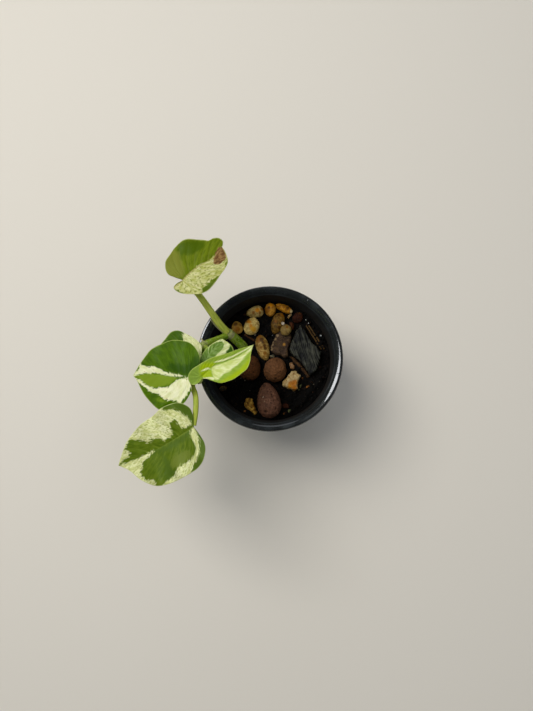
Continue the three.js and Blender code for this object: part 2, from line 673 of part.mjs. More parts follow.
function mixSolid() {
  const low = FLOOR + GAP;
  const radius = innerRadius(MIX_LEVEL) - SIDE_GAP;
  const profile = [
    [0, low],
    [innerRadius(low) - SIDE_GAP, low],
  ];
  for (let i = 0; i <= MIX_RINGS; i++) {
    profile.push([radius * (1 - i / MIX_RINGS), MIX_LEVEL]);
  }
  const geometry = bare(turned(profile, MIX_SIDES));
  const position = geometry.attributes.position;
  for (let i = 0; i < position.count; i++) {
    const [x, y, z] = [position.getX(i), position.getY(i), position.getZ(i)];
    const inside = THREE.MathUtils.smoothstep(radius - Math.hypot(x, y), 0.1, MIX_SHOULDER);
    if (z > MIX_LEVEL - 1) position.setZ(i, z + inside * mixRelief(x, y) + MIX_EDGE_DROP * (inside - 1));
  }
  let mix = solidOf(geometry).subtract(vineSolid(POCKET_GAP));
  for (const pocket of pockets) mix = mix.subtract(pocket);
  return largest(mix);
}

place("potting_mix", geometryOf(mixSolid()), { color: 0x17120f, roughness: 0.95 });

export default part;
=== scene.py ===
"""A young snow queen pothos in a 9 cm nursery pot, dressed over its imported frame.

The frame gives each piece its place. Every class below holds the sizes of one sub-assembly, in
millimetres, builds its meshes in metres and gives them their finish.
"""

import json
import logging
import math
import random
from collections.abc import Callable, Iterator
from contextlib import contextmanager
from dataclasses import dataclass
from enum import Enum

import bpy
import numpy as np
from bpy.types import Material, Mesh, Node, NodeSocket, Object
from mathutils import Matrix, Vector, noise

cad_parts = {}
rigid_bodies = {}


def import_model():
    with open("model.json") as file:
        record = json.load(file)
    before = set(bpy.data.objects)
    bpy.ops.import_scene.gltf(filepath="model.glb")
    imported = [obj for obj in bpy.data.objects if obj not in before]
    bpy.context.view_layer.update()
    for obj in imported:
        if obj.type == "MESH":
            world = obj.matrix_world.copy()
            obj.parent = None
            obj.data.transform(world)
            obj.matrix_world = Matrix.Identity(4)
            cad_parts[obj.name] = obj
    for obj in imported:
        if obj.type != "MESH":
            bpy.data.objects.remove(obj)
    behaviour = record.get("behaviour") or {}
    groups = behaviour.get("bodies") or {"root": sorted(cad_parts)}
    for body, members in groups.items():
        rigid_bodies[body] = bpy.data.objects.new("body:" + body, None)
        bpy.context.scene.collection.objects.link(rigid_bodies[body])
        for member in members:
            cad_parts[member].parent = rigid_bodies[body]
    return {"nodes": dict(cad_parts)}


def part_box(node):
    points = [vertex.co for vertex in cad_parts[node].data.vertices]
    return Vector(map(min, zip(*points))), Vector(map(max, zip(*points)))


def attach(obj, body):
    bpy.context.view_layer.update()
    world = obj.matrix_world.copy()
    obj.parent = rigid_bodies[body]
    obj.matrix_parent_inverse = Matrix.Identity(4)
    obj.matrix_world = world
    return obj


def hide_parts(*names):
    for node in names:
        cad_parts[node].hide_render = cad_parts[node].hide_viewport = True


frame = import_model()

MM = 0.001
BODY = "root"
FULL_TURN = 2 * math.pi
MERGE_GAP = 0.01
Pair = tuple[float, float]
Place = tuple[float, float, float]
log = logging.getLogger("potted_pothos")


# Colours and materials


def srgb(code: str) -> tuple[float, float, float, float]:
    """Turn an sRGB hex colour into the linear colour that a shader takes.

    Args:
        code: The colour as #rrggbb.

    Returns:
        Red, green, blue and a full alpha.
    """
    parts = (int(code[i:i + 2], 16) / 255 for i in (1, 3, 5))
    red, green, blue = (p / 12.92 if p <= 0.04045 else ((p + 0.055) / 1.055) ** 2.4 for p in parts)
    return (red, green, blue, 1.0)


def per_mm(size: float) -> float:
    """Give the texture scale whose pattern repeats about every size millimetres of the object."""
    return 1 / (size * MM)


MIX_FACTOR, MIX_BELOW, MIX_ABOVE, MIX_RESULT = 0, 6, 7, 2


class Paint:
    """A material in the making: its Principled shader, and the nodes that paint what it shows."""

    def __init__(self, name: str, **shader_values: float | tuple) -> None:
        """Start the material.

        Args:
            name: The real material's name.
            shader_values: Shader inputs, with an underscore for each space in their names.
        """
        self.material = bpy.data.materials.new(name)
        self.material.use_nodes = True
        self.tree = self.material.node_tree
        self.tree.nodes.clear()
        self.shader = self.tree.nodes.new("ShaderNodeBsdfPrincipled")
        self.node("OutputMaterial", {"Surface": self.shader.outputs["BSDF"]})
        self.fill(self.shader, {key.replace("_", " "): value for key, value in shader_values.items()})
        self.place = self.node("TexCoord")["Object"]

    def fill(self, node: Node, inputs: dict) -> None:
        """Fill or link a node's inputs.

        Args:
            node: The node.
            inputs: A value, a hex colour or another node's output for each input's name or number.
        """
        for name, value in inputs.items():
            if isinstance(value, NodeSocket):
                self.tree.links.new(value, node.inputs[name])
            else:
                node.inputs[name].default_value = srgb(value) if isinstance(value, str) else value

    def node(
        self, kind: str, inputs: dict | None = None, **settings: object
    ) -> bpy.types.bpy_prop_collection:
        """Add a node, set its properties, and fill or link its inputs.

        Args:
            kind: Blender's name of the node type, without the ShaderNode before it.
            inputs: A value, a hex colour or another node's output for each input's name or number.
            settings: The node's own properties.

        Returns:
            The new node's outputs.
        """
        node = self.tree.nodes.new(f"ShaderNode{kind}")
        for name, value in settings.items():
            setattr(node, name, value)
        self.fill(node, inputs or {})
        return node.outputs

    def coat(
        self, below: str | NodeSocket, above: str | NodeSocket, guide: NodeSocket,
        low: float = 0.0, high: float = 1.0, most: float = 1.0,
    ) -> NodeSocket:
        """Lay one colour over another where a guide value goes from low to high.

        Args:
            below: The colour underneath, or the socket that gives it.
            above: The colour on top, or the socket that gives it.
            guide: The value that says where the upper colour lies.
            low: The guide's value where the upper colour begins.
            high: The guide's value where it covers the most.
            most: How much of the lower colour it then covers.

        Returns:
            The socket that gives the joint colour.
        """
        share = self.node("MapRange", {"Value": guide, "From Min": low, "From Max": high, "To Max": most})
        mix = {MIX_FACTOR: share["Result"], MIX_BELOW: below, MIX_ABOVE: above}
        return self.node("Mix", mix, data_type="RGBA")[MIX_RESULT]

    def finish(
        self, colour: str | NodeSocket, relief: NodeSocket, strength: float, depth: float, **others: object
    ) -> Material:
        """Give the shader its colour, its fine relief and what else changes over the surface.

        Args:
            colour: The colour, or the socket that gives it.
            relief: The socket that gives the relief's height.
            strength: How much of the relief shows, from 0 to 1.
            depth: The relief's depth in mm.
            others: More shader inputs, with an underscore for each space in their names.

        Returns:
            The finished material.
        """
        bump = self.node("Bump", {"Strength": strength, "Distance": depth * MM, "Height": relief})
        inputs = {key.replace("_", " "): value for key, value in others.items()}
        self.fill(self.shader, {"Base Color": colour, "Normal": bump["Normal"], **inputs})
        return self.material


# Modelling


def deselect_all() -> None:
    """Leave edit mode and deselect every object."""
    if bpy.context.object and bpy.context.object.mode != "OBJECT":
        bpy.ops.object.mode_set(mode="OBJECT")
    bpy.ops.object.select_all(action="DESELECT")


def pick(*pieces: Object) -> None:
    """Select some objects alone.

    Args:
        pieces: The objects, of which the first becomes the active one.
    """
    deselect_all()
    for piece in pieces:
        piece.select_set(True)
    bpy.context.view_layer.objects.active = pieces[0]


def settled(name: str) -> Object:
    """Name the active object and put its place into its mesh.

    Args:
        name: The name for it and for its mesh.

    Returns:
        The object.
    """
    piece = bpy.context.object
    piece.name = name
    piece.data.name = name
    bpy.ops.object.transform_apply(location=True, rotation=True, scale=True)
    return piece


def added(name: str, primitive: Callable, **settings: object) -> Object:
    """Add a primitive, with nothing else selected and its place in its mesh.

    Args:
        name: The new object's name.
        primitive: The operator that adds it.
        settings: The operator's settings.

    Returns:
        The new object.
    """
    deselect_all()
    primitive(**settings)
    return settled(name)


def linked(name: str, data: bpy.types.ID) -> Object:
    """Make an object that shows some data.

    Args:
        name: The object's name.
        data: Its mesh, curve, light or camera.

    Returns:
        The object, linked to the scene.
    """
    thing = bpy.data.objects.new(name, data)
    bpy.context.collection.objects.link(thing)
    return thing


@contextmanager
def editing(piece: Object) -> Iterator[None]:
    """Keep a piece in edit mode, with all of it selected at first.

    Args:
        piece: The piece.

    Yields:
        Nothing.
    """
    pick(piece)
    bpy.ops.object.mode_set(mode="EDIT")
    bpy.ops.mesh.select_all(action="SELECT")
    yield
    bpy.ops.object.mode_set(mode="OBJECT")


def apply_modifier(piece: Object, kind: str, **settings: object) -> None:
    """Add a modifier with these settings and apply it.

    Args:
        piece: The object.
        kind: Blender's name of the modifier type.
        settings: The modifier's properties.
    """
    pick(piece)
    modifier = piece.modifiers.new(kind.lower(), kind)
    for name, value in settings.items():
        setattr(modifier, name, value)
    bpy.ops.object.modifier_apply(modifier=modifier.name)


def displace(piece: Object, size: float, height: float, kind: str = "CLOUDS", group: str = "") -> None:
    """Raise and lower a surface along its normals by a procedural relief.

    Args:
        piece: The object.
        size: The relief's grain in mm.
        height: The relief's whole height in mm.
        kind: Blender's name of the texture type.
        group: The vertex group that it works on, or all of the piece.
    """
    texture = bpy.data.textures.new(f"{piece.name}_{kind.lower()}", kind)
    texture.noise_scale = size * MM
    apply_modifier(piece, "DISPLACE", texture=texture, strength=height * MM, vertex_group=group)
    bpy.data.textures.remove(texture)


def joined(name: str, *pieces: Object) -> Object:
    """Join objects into the first of them.

    Args:
        name: The joint object's name.
        pieces: The objects.

    Returns:
        The joint object.
    """
    pick(*pieces)
    bpy.ops.object.join()
    return settled(name)


def copy_of_node(node: str, name: str) -> Object:
    """Copy a CAD node's mesh, with its loose triangles merged, as the start of a finer piece.

    Args:
        node: The CAD node.
        name: The copy's name.

    Returns:
        The copy, on its own and at the origin.
    """
    pick(frame["nodes"][node])
    bpy.ops.object.duplicate()
    bpy.ops.object.parent_clear(type="CLEAR_KEEP_TRANSFORM")
    piece = settled(name)
    piece.data.materials.clear()
    with editing(piece):
        bpy.ops.mesh.remove_doubles(threshold=MERGE_GAP * MM)
    return piece


def ringed(name: str, sides: int, rings: list[Pair], pointed: bool = False) -> Object:
    """Draw a closed round body up from its lowest ring, by extruding and scaling ring after ring.

    Args:
        name: The body's name.
        sides: How many sides its rings have.
        rings: Each ring's radius and height in mm.
        pointed: Whether the last ring is drawn in to its centre, and not closed by a face.

    Returns:
        The body.
    """
    radius, height = rings[0]
    body = added(
        name, bpy.ops.mesh.primitive_circle_add, vertices=sides, radius=radius * MM, fill_type="NOTHING",
        location=(0, 0, height * MM),
    )
    with editing(body):
        bpy.ops.mesh.edge_face_add()
        bpy.ops.mesh.select_all(action="SELECT")
        bpy.ops.mesh.region_to_loop()
        for next_radius, next_height in rings[1:]:
            rise = (0, 0, (next_height - height) * MM)
            bpy.ops.mesh.extrude_edges_move(TRANSFORM_OT_translate={"value": rise})
            scale = next_radius / radius
            bpy.ops.transform.resize(value=(scale, scale, 1), center_override=(0, 0, next_height * MM))
            radius, height = next_radius, next_height
        if pointed:
            bpy.ops.mesh.extrude_edges_move(TRANSFORM_OT_translate={"value": (0, 0, 0)})
            bpy.ops.mesh.merge(type="CENTER")
        else:
            bpy.ops.mesh.edge_face_add()
        bpy.ops.mesh.select_all(action="SELECT")
        bpy.ops.mesh.normals_make_consistent(inside=False)
    return body


def write_attribute(mesh: Mesh, name: str, values: np.ndarray) -> None:
    """Store one number or one vector for each vertex, for a material to read.

    Args:
        mesh: The mesh.
        name: The attribute's name.
        values: One row for each vertex.
    """
    vector = values.ndim == 2
    layer = mesh.attributes.new(name, "FLOAT_VECTOR" if vector else "FLOAT", "POINT")
    layer.data.foreach_set("vector" if vector else "value", values.astype(np.float32).ravel())


def vertex_array(mesh: Mesh) -> np.ndarray:
    """Read where a mesh's vertices are.

    Args:
        mesh: The mesh.

    Returns:
        One row for each vertex, in mm.
    """
    flat = np.empty(len(mesh.vertices) * 3, np.float32)
    mesh.vertices.foreach_get("co", flat)
    return flat.reshape(-1, 3) / MM


def move_vertices(mesh: Mesh, rows: np.ndarray) -> None:
    """Put a mesh's vertices at these places in mm."""
    mesh.vertices.foreach_set("co", (rows * MM).astype(np.float32).ravel())
    mesh.update()


def mesh_object(name: str, rows: np.ndarray, faces: list) -> Object:
    """Make an object from places in mm and faces.

    Args:
        name: The object's name.
        rows: The places of the vertices.
        faces: Tuples of vertex numbers.

    Returns:
        The new object, linked to the scene.
    """
    mesh = bpy.data.meshes.new(name)
    mesh.from_pydata((rows * MM).tolist(), [], faces)
    mesh.update()
    return linked(name, mesh)


def dress(piece: Object, material: Material, sharp: float = 0.0) -> None:
    """Shade a piece smooth and give it its material.

    Args:
        piece: The piece.
        material: The material.
        sharp: From how many degrees an edge stays sharp, or 0 where every edge is smooth.
    """
    pick(piece)
    if sharp:
        bpy.ops.object.shade_smooth_by_angle(angle=math.radians(sharp))
    else:
        bpy.ops.object.shade_smooth()
    piece.data.materials.clear()
    piece.data.materials.append(material)


def show(piece: Object, slot: str, *nodes: str) -> None:
    """Hand a finished piece to the frame.

    Args:
        piece: The piece, which rides on the one body.
        slot: The record's material slot for the piece; not used.
        nodes: The CAD nodes that it replaces.
    """
    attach(piece, BODY)
    if nodes:
        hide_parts(*nodes)
    log.info("%s: %d faces", piece.name, len(piece.data.polygons))


def smooth_line(points: tuple, steps: int, closed: bool = False) -> np.ndarray:
    """Draw a smooth line through points, by a uniform Catmull-Rom spline.

    Args:
        points: The points, of two or three numbers each.
        steps: How many steps lie between two points.
        closed: Whether the line returns to its start.

    Returns:
        The line's points as rows.
    """
    rows = np.array(points, float)
    last = len(rows) if closed else len(rows) - 1
    places = np.arange(last * steps + (0 if closed else 1)) / steps
    low = np.minimum(places.astype(int), last - 1)
    t = (places - low)[:, None]
    near = low + np.arange(-1, 3)[:, None]
    a, b, c, d = rows[near % len(rows) if closed else np.clip(near, 0, len(rows) - 1)]
    return b + 0.5 * t * (c - a + t * (2 * a - 5 * b + 4 * c - d + t * (3 * (b - c) + d - a)))


# The studio


@dataclass(frozen=True)
class SoftLight:
    """A soft area light, by its compass angle and height angle in degrees and its sizes in metres."""

    name: str
    azimuth: float
    elevation: float
    distance: float
    wide: float
    tall: float
    watts: float
    colour: str
    lights_up: bool = True
    mirrored: bool = True

    def hang(self, target: Vector) -> None:
        """Hang the light at its angles, turned to the plant.

        Args:
            target: The place that it looks at.
        """
        data = bpy.data.lights.new(self.name, "AREA")
        data.shape = "ELLIPSE"
        data.size = self.wide
        data.size_y = self.tall
        data.energy = self.watts
        data.color = srgb(self.colour)[:3]
        lamp = linked(self.name, data)
        lamp.visible_diffuse = self.lights_up
        lamp.visible_glossy = self.mirrored
        azimuth, elevation = math.radians(self.azimuth), math.radians(self.elevation)
        level = math.cos(elevation)
        aim = Vector((math.cos(azimuth) * level, math.sin(azimuth) * level, math.sin(elevation)))
        lamp.location = target + self.distance * aim
        lamp.rotation_euler = (-aim).to_track_quat("-Z", "Y").to_euler()


@dataclass
class Studio:
    """A plain pale floor, soft lights, and a camera at the photograph's angle. Metres and degrees."""

    floor_width: float = 6.0
    look_at: Place = (-0.0021, 0.0015, 0.080)
    camera_distance: float = 0.45
    lean_right: float = 1.8
    lean_front: float = 6.2
    photo_height: float = 711.0
    focal_pixels: float = 721.2
    sensor: float = 36.0
    nearest: float = 0.01
    sky: str = "#dfe3e6"
    sky_strength: float = 0.42
    exposure: float = -0.75
    lights: tuple[SoftLight, ...] = (
        SoftLight("window_light", 141, 61, 1.1, 0.5, 0.9, 16.5, "#fffaf0", mirrored=False),
        SoftLight("lip_glow", 153, 50, 1.1, 0.42, 1.15, 27.0, "#fbfdff", lights_up=False),
        SoftLight("ceiling_panel", 20, 72, 1.5, 1.3, 1.3, 7.0, "#f7faff", mirrored=False),
        SoftLight("back_strip", 96, 24, 1.2, 0.7, 0.7, 2.0, "#f2f6ff"),
    )

    def build(self) -> None:
        """Set up the floor, the sky, the lights and the camera."""
        self.lay_floor()
        self.set_sky()
        for light in self.lights:
            light.hang(Vector(self.look_at))
        self.aim_camera()
        log.info("studio ready")

    def lay_floor(self) -> None:
        """Lay the floor that the pot stands on."""
        floor = added("studio_floor", bpy.ops.mesh.primitive_plane_add, size=self.floor_width)
        # Matt painted board: even and pale, so that the eye stays on the plant
        paint = Paint("matt_painted_board", Roughness=0.85)
        grain = paint.node("TexNoise", {"Vector": paint.place, "Scale": per_mm(1.5), "Detail": 3.0})
        floor.data.materials.append(paint.finish("#d8d4cc", grain["Fac"], 0.05, 0.1))

    def set_sky(self) -> None:
        """Set the sky's even fill, which nothing mirrors."""
        world = bpy.data.worlds.new("soft_sky")
        world.use_nodes = True
        background = world.node_tree.nodes["Background"]
        background.inputs["Color"].default_value = srgb(self.sky)
        background.inputs["Strength"].default_value = self.sky_strength
        world.cycles_visibility.glossy = False
        bpy.context.scene.world = world

    def aim_camera(self) -> None:
        """Put the camera over the pot, leaning as in the photograph, with its top to +Y."""
        data = bpy.data.cameras.new("photo_camera")
        data.sensor_width = self.sensor
        data.lens = self.focal_pixels / self.photo_height * self.sensor
        data.clip_start = self.nearest
        camera = linked("photo_camera", data)
        to_right, to_front = math.radians(self.lean_right), math.radians(self.lean_front)
        back = Vector((math.tan(to_right), -math.tan(to_front), 1.0)).normalized()
        right = Vector((0, 1, 0)).cross(back).normalized()
        turn = Matrix((right, back.cross(right), back)).transposed()
        place = Vector(self.look_at) + self.camera_distance * back
        camera.matrix_world = Matrix.Translation(place) @ turn.to_4x4()
        scene = bpy.context.scene
        scene.camera = camera
        scene.view_settings.view_transform = "Standard"
        scene.view_settings.exposure = self.exposure


# The pot


@dataclass(frozen=True)
class PotFinish:
    """Black injection-moulded polypropylene: satin on the lip, duller and dusty on the inner wall."""

    black: str = "#1f2223"
    worn: str = "#292e31"
    dust: str = "#33261a"
    dust_low: float = 60.0
    dust_high: float = 79.0
    polish_low: float = 78.2

    def make(self) -> Material:
        """Make the material: fine moulded grain, faint rubbing, and a brown bloom left by watering.

        Returns:
            The material.
        """
        paint = Paint("black_polypropylene_moulded", IOR=1.49, Specular_IOR_Level=0.15)
        # Each field's size in mm and its detail; the tool's 0.1 mm grain is drawn at 0.5 mm so that it shows
        sizes = {"rub": (7, 8.0), "specks": (2.2, 8.0), "grain": (0.5, 2.0)}
        fields = {}
        for name, (size, detail) in sizes.items():
            inputs = {"Vector": paint.place, "Scale": per_mm(size), "Detail": detail}
            fields[name] = paint.node("TexNoise", inputs)["Fac"]
        plastic = paint.coat(self.black, self.worn, fields["rub"], 0.45, 0.72, 0.8)
        height = paint.node("SeparateXYZ", {"Vector": paint.place})["Z"]
        inside = paint.node("Attribute", attribute_name="inside")["Fac"]
        lower = paint.node(
            "MapRange", {"Value": height, "From Min": self.dust_high * MM, "From Max": self.dust_low * MM}
        )
        patchy = paint.node("Math", {0: lower["Result"], 1: fields["specks"]}, operation="MULTIPLY")
        bloom = paint.node("Math", {0: patchy[0], 1: inside}, operation="MULTIPLY")
        colour = paint.coat(plastic, self.dust, bloom[0])
        gloss = paint.node("MapRange", {
            "Value": fields["rub"], "From Min": 0.35, "From Max": 0.7, "To Min": 0.15, "To Max": 0.36,
        })
        dull = paint.node("Math", {0: inside, 1: 0.4, 2: gloss["Result"]}, operation="MULTIPLY_ADD")
        # Handling has polished the top of the lip
        polish = paint.node(
            "MapRange", {"Value": height, "From Min": self.polish_low * MM, "From Max": self.dust_high * MM}
        )
        return paint.finish(
            colour, fields["grain"], 0.1, 0.04,
            Roughness=dull[0], Coat_Weight=polish["Result"], Coat_Roughness=0.05,
        )


@dataclass
class NurseryPot:
    """The round nursery pot, a thin wall under a rolled lip with a skirt, and slots round its foot."""

    sides: int = 200
    lip_half_width: float = 2.4
    lip_rise: float = 2.8
    lip_lean: float = 0.9
    lip_steps: int = 18
    throat_step: float = 0.4
    skirt_depth: float = 9.0
    skirt_flare: float = 0.3
    wall: float = 1.0
    floor: float = 1.2
    base_radius: float = 32.4
    foot_corner: float = 0.8
    foot_ring: float = 5.0
    inner_ring: float = 6.0
    foot_height: float = 4.0
    rounding: float = 0.4
    side_per_rounding: float = 2.2
    sharp_bend: float = 0.3
    sharp_edge: float = 35.0
    slot_size: Place = (8.0, 7.0, 9.0)
    slot_inset: float = 2.0
    slot_bevel: float = 1.1
    slots: int = 8
    nicks: tuple[float, ...] = (-30.1, -13.3, 57.2, 163.0)
    nick_size: Place = (2.4, 0.5, 0.9)
    nick_inset: float = 0.3
    nick_bevel: float = 0.12
    finish: PotFinish = PotFinish()

    def __post_init__(self) -> None:
        """Take the rim and the height from the frame."""
        low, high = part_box("pot")
        self.rim_radius = (high[0] - low[0]) / 2 / MM
        self.height = high[2] / MM

    def inner_radius(self, z: float) -> float:
        """Measure the inner wall.

        Args:
            z: The height in mm.

        Returns:
            The wall's radius there, in mm.
        """
        top = self.rim_radius - 2 * self.lip_half_width - self.throat_step
        low = self.base_radius - self.wall
        return low + (top - low) * (z - self.floor) / (self.height - self.floor)

    def lip(self, inset: float) -> list[Pair]:
        """Draw the lip's half round, from its outer side to its inner one.

        Args:
            inset: How far inside the lip's skin it lies, in mm.

        Returns:
            Its points, each a radius and a height.
        """
        middle = self.rim_radius - self.lip_half_width
        foot = self.height - self.lip_rise
        half, rise = self.lip_half_width - inset, self.lip_rise - inset
        points = []
        for i in range(self.lip_steps):
            turn = math.pi * i / self.lip_steps
            lean = self.lip_lean * math.sin(turn) ** 2
            points.append((middle + half * math.cos(turn) + lean, foot + rise * math.sin(turn)))
        return points

    def profile(self) -> list[Pair]:
        """Draw the wall's section, from the underside round the lip to the inner floor, corners rounded.

        Returns:
            Its points, each a radius and a height.
        """
        foot = self.height - self.lip_rise
        skirt_end = self.height - self.skirt_depth
        skirt = self.rim_radius - self.skirt_flare
        corners = [
            (self.base_radius - self.foot_ring, 0.0),
            (self.base_radius - self.foot_corner, 0.0),
            (self.base_radius, self.foot_corner),
            (self.inner_radius(self.foot_height) + self.wall, self.foot_height),
            (self.inner_radius(foot - self.wall) + self.wall, foot - self.wall),
            *reversed(self.lip(self.wall)),
            (skirt - self.wall, skirt_end),
            (skirt, skirt_end),
            *self.lip(0),
            (self.inner_radius(foot), foot),
            (self.inner_radius(self.floor), self.floor),
            (self.base_radius - self.inner_ring, self.floor),
        ]
        rounded = [corners[0]]
        for before, corner, after in zip(corners, corners[1:], corners[2:]):
            start, middle, end = Vector(before), Vector(corner), Vector(after)
            if (middle - start).angle(end - middle) < self.sharp_bend:
                rounded.append(corner)
                continue
            first, last = (
                middle + min(self.rounding / side.length, 1 / self.side_per_rounding) * side
                for side in (start - middle, end - middle)
            )
            for t in (0, 0.33, 0.67, 1):
                rounded.append(tuple((1 - t) ** 2 * first + 2 * t * (1 - t) * middle + t ** 2 * last))
        return [*rounded, corners[-1]]

    def build(self) -> None:
        """Draw a ring up through the section, cut the slots and nicks, and dress the pot."""
        pot = ringed("nursery_pot", self.sides, self.profile())
        cutter = joined("pot_cutter", *self.cutters())
        apply_modifier(pot, "BOOLEAN", operation="DIFFERENCE", object=cutter, solver="EXACT")
        bpy.data.objects.remove(cutter)
        dress(pot, self.finish.make(), self.sharp_edge)
        places = vertex_array(pot.data)
        reach = np.hypot(places[:, 0], places[:, 1])
        wall = np.array([self.inner_radius(z) for z in places[:, 2]])
        inside = (reach < wall + 0.3) & (places[:, 2] > self.floor - 0.1)
        write_attribute(pot.data, "inside", inside.astype(float))
        show(pot, "pot_plastic", "pot")

    def cutters(self) -> list[Object]:
        """Make the blocks that cut the drain slots and the small nicks left in the lip by the tool.

        Returns:
            The blocks.
        """
        slot_reach = self.base_radius - self.slot_inset
        nick_reach = self.rim_radius - self.lip_half_width - self.nick_inset
        slot_turns = [(i + 0.5) / self.slots * FULL_TURN for i in range(self.slots)]
        return [
            *(self.block(self.slot_size, slot_reach, 0.0, turn, self.slot_bevel) for turn in slot_turns),
            *(
                self.block(self.nick_size, nick_reach, self.height, math.radians(angle), self.nick_bevel)
                for angle in self.nicks
            ),
        ]

    def block(self, size: Place, reach: float, z: float, turn: float, bevel: float) -> Object:
        """Make one cutting block.

        Args:
            size: Its depth, width and height in mm.
            reach: How far its middle stands from the pot's axis, in mm.
            z: Its middle's height in mm.
            turn: Its angle round the axis in radians.
            bevel: How far its edges are rounded, in mm.

        Returns:
            The block.
        """
        block = added(
            "pot_cutter_block", bpy.ops.mesh.primitive_cube_add, size=1, rotation=(0, 0, turn),
            location=(reach * math.cos(turn) * MM, reach * math.sin(turn) * MM, z * MM),
            scale=tuple(side * MM for side in size),
        )
        apply_modifier(block, "BEVEL", width=bevel * MM, segments=3)
        return block


# The potting mix


MIX_LEVEL = 64.0


@dataclass(frozen=True)
class EarthFinish:
    """Moist composted bark and fibre: nearly black, its own dark deepened with painted shade, with brown
    grains that catch the light.
    """

    name: str
    dark: str
    brown: str
    brown_share: float
    roughness: float
    grain: float = 1.1
    gloss: float = 0.15

    def make(self) -> Material:
        """Make the material: two tones in grains, and a bump that breaks up every highlight.

        Returns:
            The material.
        """
        paint = Paint(self.name, Roughness=self.roughness, IOR=1.4, Specular_IOR_Level=self.gloss)
        grains = paint.node("TexVoronoi", {"Vector": paint.place, "Scale": per_mm(self.grain)})
        tone = paint.node("SeparateColor", {"Color": grains["Color"]})["Red"]
        colour = paint.coat(self.dark, self.brown, tone, 1 - self.brown_share, 1.0)
        fibre = paint.node(
            "TexNoise", {"Vector": paint.place, "Scale": per_mm(0.7), "Detail": 8.0, "Roughness": 0.7}
        )
        return paint.finish(colour, fibre["Fac"], 0.8, 0.3)


@dataclass(frozen=True)
class Grit:
    """Loose grains at known places on the mix: x, y, half length and half width in mm, turn in degrees."""

    name: str
    finish: EarthFinish
    grains: tuple[tuple[float, float, float, float, float], ...]


def mix_relief(x: np.ndarray, y: np.ndarray) -> np.ndarray:
    """Give the mix's long waves in mm, the same as in the solid."""
    return 0.7 * np.sin(0.31 * x + 1.3) * np.cos(0.27 * y - 0.4) + 0.5 * np.sin(0.62 * x - 0.53 * y)


def on_mix(x: float, y: float, lift: float) -> Place:
    """Give the place that lies lift mm over the mix at x and y."""
    return (x, y, MIX_LEVEL + float(mix_relief(x, y)) + lift)


